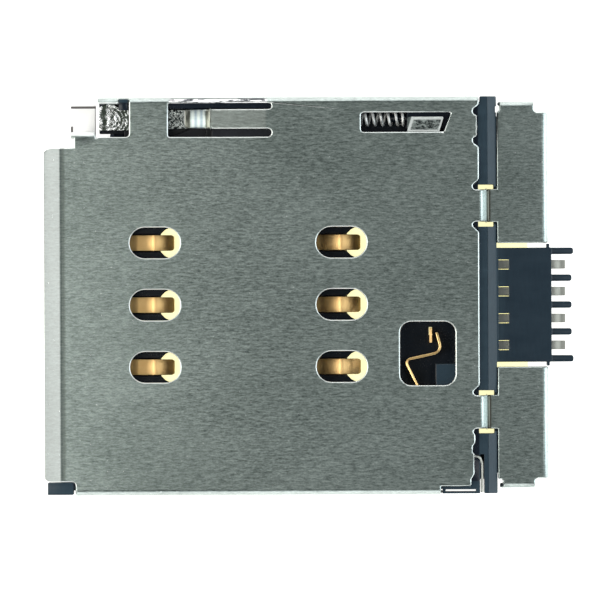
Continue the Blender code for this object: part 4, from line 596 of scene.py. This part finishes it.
# %% The shell's steel
def shell_finish(name, dark, pale, roughness):
    steel = Finish(name)
    x, y, z = (along(steel, axis) for axis in "XYZ")
    on = {spot: patch(steel, x, y, place) for spot, place in SHELL_PATCHES.items()}

    streaks = cloudy(steel, (3.0, 13.0, 13.0), detail=4.0, roughness=0.75)
    grit = cloudy(steel, (10.0, 22.0, 22.0), detail=2.0, roughness=0.6)
    haze = cloudy(steel, (0.20, 0.45, 0.45), detail=3.0)
    # Painted glints: small near-white specks in the colour, which also dent the steel and make it a
    # little glossier.
    painted_glints = specks(steel, per_mm=4.6, size=0.14, share=0.26)
    grain = streaks * 0.62 + grit * 0.30 + haze * 0.20
    colour = two_tone(steel, grain, 0.41, 0.71, dark, pale)

    # Painted highlight on rims and slanted faces, weaker behind REAR_X, round the finger's bend and
    # on the folds.
    rim_highlight = slanted(steel, 0.80, 0.97) * (z > RIM_Z) * (1 - (x > REAR_X) * 0.7)
    rim_highlight = rim_highlight * (1 - on["round_the_bend"] * 0.8)
    folded = between(steel, y, *BACK_FOLD_Y) + between(steel, y, *FRONT_FOLD_Y)
    rim_highlight = rim_highlight * (1 - folded * 0.75)
    # Painted highlight on the flared lip.
    lip_highlight = within(steel, x, LIP_X, LIP_SOFT)
    # Painted shade on the rear step and on the finger's tip.
    step = within(steel, x, REAR_STEP_X, REAR_STEP_SOFT)
    tip_shade = on["finger_tip"] * (z > FINGER_Z)
    # Painted highlight along the edge of the finger's tip.
    tip_edge_highlight = on["tip_edge_highlight"] * (z > FINGER_Z)
    # Painted highlight: the foot is painted near-white, not metallic, and rougher.
    foot = on["foot"] * (z < FOOT_Z)
    # Painted shadow lines along two edges of the foot.
    foot_edge_shade = on["foot_back_shade"] + on["foot_left_shade"]
    # Mask of the tongue, which gets a painted mottle of shade and reflection.
    lean = x - (y - TONGUE_ROOT) * TONGUE_LEAN
    tongue = patch(steel, lean, y, TONGUE)
    # Painted highlight round the tongue's edges.
    tongue_edge_highlight = tongue * (1 - patch(steel, lean, y, TONGUE_MIDDLE))

    # Painted stripes of reflection for the finger's bend.
    painted_stripes = waves(steel, x * 27.0 + 2.2) * 0.5 + 0.5
    painted_bend_bands = mixed(steel, painted_stripes, (0.20, 0.25, 0.29), (0.40, 0.45, 0.43))
    jumble = cloudy(steel, (6.0, 9.0, 9.0), detail=5.0, roughness=0.8)
    # Painted mottle of shade and reflection for the tongue.
    tongue_shade_and_glare = two_tone(steel, jumble, 0.44, 0.60, (0.01, 0.015, 0.015), (0.34, 0.38, 0.36))
    # Painted bright and dark patches of reflection for the fold beside the finger.
    fold_glare_noise = cloudy(steel, (1.6, 8.0, 8.0), detail=4.0, roughness=0.7)
    painted_fold_glare = two_tone(steel, fold_glare_noise, 0.46, 0.50, (0.03, 0.03, 0.04), (0.98, 0.98, 0.98))

    # Every coat below is painted light or shade laid over the steel's own grain: painted glints,
    # highlights, reflections and shade.
    coats = (
        (painted_glints * 0.70, (0.92, 0.94, 0.95)),
        (rim_highlight * 0.80, (0.97, 0.99, 0.97)),
        (lip_highlight * 0.45, (0.92, 0.93, 0.88)),
        (on["finger"] * 0.25, (0.86, 0.90, 0.84)),
        (on["finger_bend"] * 0.85, painted_bend_bands),
        (on["mouth_bend_shade"] * 0.62, (0.10, 0.12, 0.11)),
        (step + tip_shade * 0.9, (0.12, 0.12, 0.10)),
        (tip_edge_highlight * 0.8, (0.95, 0.95, 0.92)),
        (on["finger_crease_shade"] * 0.85, (0.27, 0.28, 0.23)),
        (foot, (0.97, 0.97, 0.96)),
        (foot_edge_shade * foot, (0.10, 0.09, 0.09)),
        (tongue, tongue_shade_and_glare),
        (tongue_edge_highlight * 0.8, (0.85, 0.88, 0.86)),
        (on["fold_glare"] * 0.9, painted_fold_glare),
        (on["fold_shade_line"] * 0.9, (0.02, 0.02, 0.03)),
    )
    for mask, tone in coats:
        colour = mixed(steel, mask, colour, tone)

    relief = streaks + grit * 0.6 + painted_glints * 0.6 + jumble * tongue * 5.0
    sheen = roughness + (streaks - 0.5) * 0.20 - painted_glints * 0.08 + rim_highlight * 0.25 + foot * 0.3
    return steel.wear(
        Base_Color=colour,
        Metallic=1 - foot - tongue * 0.5,
        Roughness=sheen,
        Normal=dented(steel, relief, 0.0016),
    )


shell_steel = shell_finish("shell_steel", (0.140, 0.175, 0.165), (0.42, 0.485, 0.465), 0.33)
print("made", shell_steel.name)

# %% [markdown]
# ## Moulded plastic
#
# The base is one moulding in black heat-resistant plastic with a cold blue cast. It is never one
# even black: glass fibres in the resin leave a faint grey bloom, and the mould's spark-cut walls
# leave a texture that catches the light on tilted faces. Under the cover it is painted darker, a
# painted shade, and it is a little glossier there. The comb is painted darker than the wall in
# front of it, also a painted shade, and the switch block under the cover keeps a slate tone close
# to the base's own.

# %% The base and the slider
COVERED = ((-9.4, 6.97), (-7.6, 7.93), (0.02, 0.02))  # what lies under the top plate
SWITCH_BLOCK = ((5.22, 6.2), (-3.8, -2.78), (0.03, 0.03))
COMB = ((7.95, 13.0), (-3.6, 2.9), (0.15, 0.02))
# Painted shade: the covered part and the comb are painted darker than the base's own colour; inside
# the covered part the switch block gets a slate tone close to the base's own.
BASE_SHADE_PATCHES = (
    # the patch, how strong its tone is, the tone, and how much glossier it is
    (COVERED, 1.0, (0.005, 0.009, 0.016), 0.18),
    (SWITCH_BLOCK, 1.0, (0.018, 0.032, 0.044), 0.0),
    (COMB, 0.5, (0.002, 0.007, 0.015), 0.07),
)


def moulded_black(name, dark, bloom, roughness, texture, shade_patches=()):
    plastic = Finish(name, Specular_IOR_Level=0.32)
    spark = cloudy(plastic, (texture, texture, texture), detail=3.0, roughness=0.6)
    flow = cloudy(plastic, (0.8, 2.4, 2.4), detail=3.0)
    fibre = cloudy(plastic, (9.0, 1.5, 9.0), detail=2.0)
    colour = two_tone(plastic, flow * 0.6 + fibre * 0.5, 0.35, 0.85, dark, bloom)
    sheen = roughness + (spark - 0.5) * 0.20 + (flow - 0.5) * 0.12
    # Each patch paints its tone over the colour, mostly painted shade.
    for place, strength, tone, gloss in shade_patches:
        mask = patch(plastic, along(plastic, "X"), along(plastic, "Y"), place)
        colour = mixed(plastic, mask * strength, colour, tone)
        sheen = sheen - mask * gloss
    return plastic.wear(Base_Color=colour, Roughness=sheen, Normal=dented(plastic, spark, 0.0030))


base_black = moulded_black(
    "base_black", (0.010, 0.024, 0.036), (0.020, 0.040, 0.056), 0.42, 16.0, BASE_SHADE_PATCHES
)
slider_black = moulded_black(
    "slider_black", (0.004, 0.005, 0.008), (0.012, 0.014, 0.019), 0.32, 12.0
)
print("made", base_black.name, "and", slider_black.name)

# %% [markdown]
# ## Plated strip
#
# The contacts are cut from copper alloy strip and plated with gold where the card touches them,
# but their solder tails are tinned. The change lies at the rear wall, so one material does both
# and changes over a short distance along X. Tin is pale and less of a mirror than gold, and it is
# duller at the tails' ends. Fine lines run along each arm, as the strip was rolled, and the gold
# is a little darker in patches.

# %% The contacts
TAILS_X = (9.2, 9.9)  # the tin turns dull between these
TIN, PALE_TIN, DULL_TIN = (0.96, 1.0, 0.88), (1.0, 1.0, 0.96), (0.45, 0.44, 0.39)


def plated(name, gold, shade, roughness, tin_x):
    strip = Finish(name)
    x = along(strip, "X")
    lines = cloudy(strip, (1.0, 14.0, 4.0), detail=3.0)
    patches = cloudy(strip, (1.3, 1.3, 1.3), detail=2.0)
    grit = cloudy(strip, (11.0, 11.0, 11.0), detail=3.0)
    warm = two_tone(strip, patches * 0.6 + lines * 0.4, 0.3, 0.8, shade, gold)
    tin = two_tone(strip, grit, 0.3, 0.7, TIN, PALE_TIN)
    tin = mixed(strip, between(strip, x, *TAILS_X), tin, DULL_TIN)
    tinned = between(strip, x + (grit - 0.5) * 0.12, *tin_x)
    return strip.wear(
        Base_Color=mixed(strip, tinned, warm, tin),
        Metallic=1 - tinned * 0.4,
        Roughness=roughness + (lines - 0.5) * 0.10 + tinned * 0.20,
        Normal=dented(strip, lines + grit * tinned * 3.0, 0.0004),
    )


contact_gold = plated("contact_gold", (1.0, 0.70, 0.33), (0.97, 0.62, 0.26), 0.50, (7.50, 7.70))
switch_gold = plated("switch_gold", (1.0, 0.74, 0.36), (0.80, 0.50, 0.20), 0.30, (6.55, 6.75))
print("made", contact_gold.name, "and", switch_gold.name)

# %% [markdown]
# ## The crank and the spring
#
# The crank is tumbled after stamping, so its face is a bright jumble of small flats with no
# direction. On its eye, painted glints: stripes of light and dark are painted to the left of the
# pivot, and arcs round the right of it, for the light caught by the marks a turning punch leaves;
# the arcs are also a faint bump. In the slot under the finger its face is finer grained and
# frosted, and it has no dents there.

# %% The crank's steel
FROSTED_X = (-6.3, -6.2)  # the face turns frosted between these, in millimetres
# Distances from the pivot: where the stripes and the arcs fade in, and where they have faded out.
STRIPES_ACROSS, STRIPES_AWAY = (0.12, -0.04), (1.2, 1.0)
ARCS_ACROSS, ARCS_AWAY = (0.0, 0.2), (1.0, 0.8)
AS_A_POST = (1, 1, 0.001)  # distances are measured from the pivot's axis, at any height


def tumbled_steel(name, pivot):
    steel = Finish(name, Metallic=1.0)
    jumble = cloudy(steel, (6.0, 5.0, 6.0), detail=5.0, roughness=0.8)
    flats = cloudy(steel, (2.2, 2.2, 2.2), detail=4.0)
    frost = cloudy(steel, (11.0, 11.0, 11.0), detail=2.0, roughness=0.8)
    where = laid_out(steel, AS_A_POST, pivot)
    away = steel.node("VectorMath", {"operation": "LENGTH"}, {"Vector": where}, "Value")
    across = steel.node("SeparateXYZ", sockets={"Vector": where}, output="X")
    # Painted glints: arcs round the pivot and stripes beside it go into the colour; the arcs also
    # dent the face a little.
    turned_rings_and_glints = waves(steel, away * 42.0 + flats * 6.0)
    painted_stripes = waves(steel, across * 17.0 + 2.4 + (flats - 0.5) * 2.0)
    left = between(steel, across, *STRIPES_ACROSS) * between(steel, away, *STRIPES_AWAY)
    right = between(steel, across, *ARCS_ACROSS) * between(steel, away, *ARCS_AWAY)
    pattern = jumble + painted_stripes * left * 0.10 + turned_rings_and_glints * right * 0.07
    bright = two_tone(steel, pattern, 0.45, 0.62, (0.04, 0.05, 0.04), (0.90, 0.92, 0.93))
    frosted = two_tone(steel, frost, 0.46, 0.55, (0.02, 0.03, 0.03), (0.95, 1.0, 0.98))
    in_slot = between(steel, along(steel, "X"), *FROSTED_X)
    relief = (jumble * 2.0 + flats * 2.0 + turned_rings_and_glints * right * 0.3) * (1 - in_slot)
    return steel.wear(
        Base_Color=mixed(steel, in_slot, bright, frosted),
        Roughness=0.24 + (jumble - 0.5) * 0.30,
        Normal=dented(steel, relief, 0.012),
    )


swing = next(j for j in frame["joints"] if j["name"] == "crank_swing")
crank_steel = tumbled_steel("crank_steel", swing["pos_m"])
print("crank pivot in mm:", [round(v / MM, 3) for v in swing["pos_m"]])

# %% [markdown]
# The spring is drawn wire, so small that its turns run together in the picture. Drawing leaves
# soot and grease on the wire, which dulls it in spots and makes it less of a mirror.

# %% The spring's wire
def drawn_wire(name):
    wire = Finish(name, Metallic=0.4)
    draw = cloudy(wire, (9.0, 9.0, 9.0), detail=4.0, roughness=0.65)
    soot = cloudy(wire, (3.0, 3.0, 3.0), detail=3.0)
    tone = two_tone(wire, draw * 0.5 + soot * 0.5, 0.40, 0.62, (0.24, 0.25, 0.25), (1.0, 1.0, 0.98))
    return wire.wear(
        Base_Color=tone,
        Roughness=0.55 + (draw - 0.5) * 0.25,
        Normal=dented(wire, draw, 0.0040),
    )


spring_wire = drawn_wire("spring_wire")
print("made", spring_wire.name)

# %% [markdown]
# ## Who wears what
#
# Each twin gets its solid's finish, rides on the body that moves it, and keeps the name of the
# solid's material slot. The coil gets the wire's finish, and its place is baked into its mesh.

# %% Give each solid and its twin a finish and a body
FINISHES = {
    "shell": shell_steel,
    "base_housing": base_black,
    "slider": slider_black,
    "cam_crank": crank_steel,
    "eject_spring": spring_wire,
    "switch_spring": switch_gold,
}
BODIES = {"slider": "push_slider", "cam_crank": "crank"}
for name, node in frame["nodes"].items():
    finish = FINISHES.get(name, contact_gold)
    for slot in node.material_slots:
        slot.material = finish
    if name in twins:
        twins[name].data.materials.clear()
        twins[name].data.materials.append(finish)
        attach(twins[name], BODIES.get(name, "socket"))
    print(name, "is", finish.name)
coil.data.materials.clear()
coil.data.materials.append(spring_wire)
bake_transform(coil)
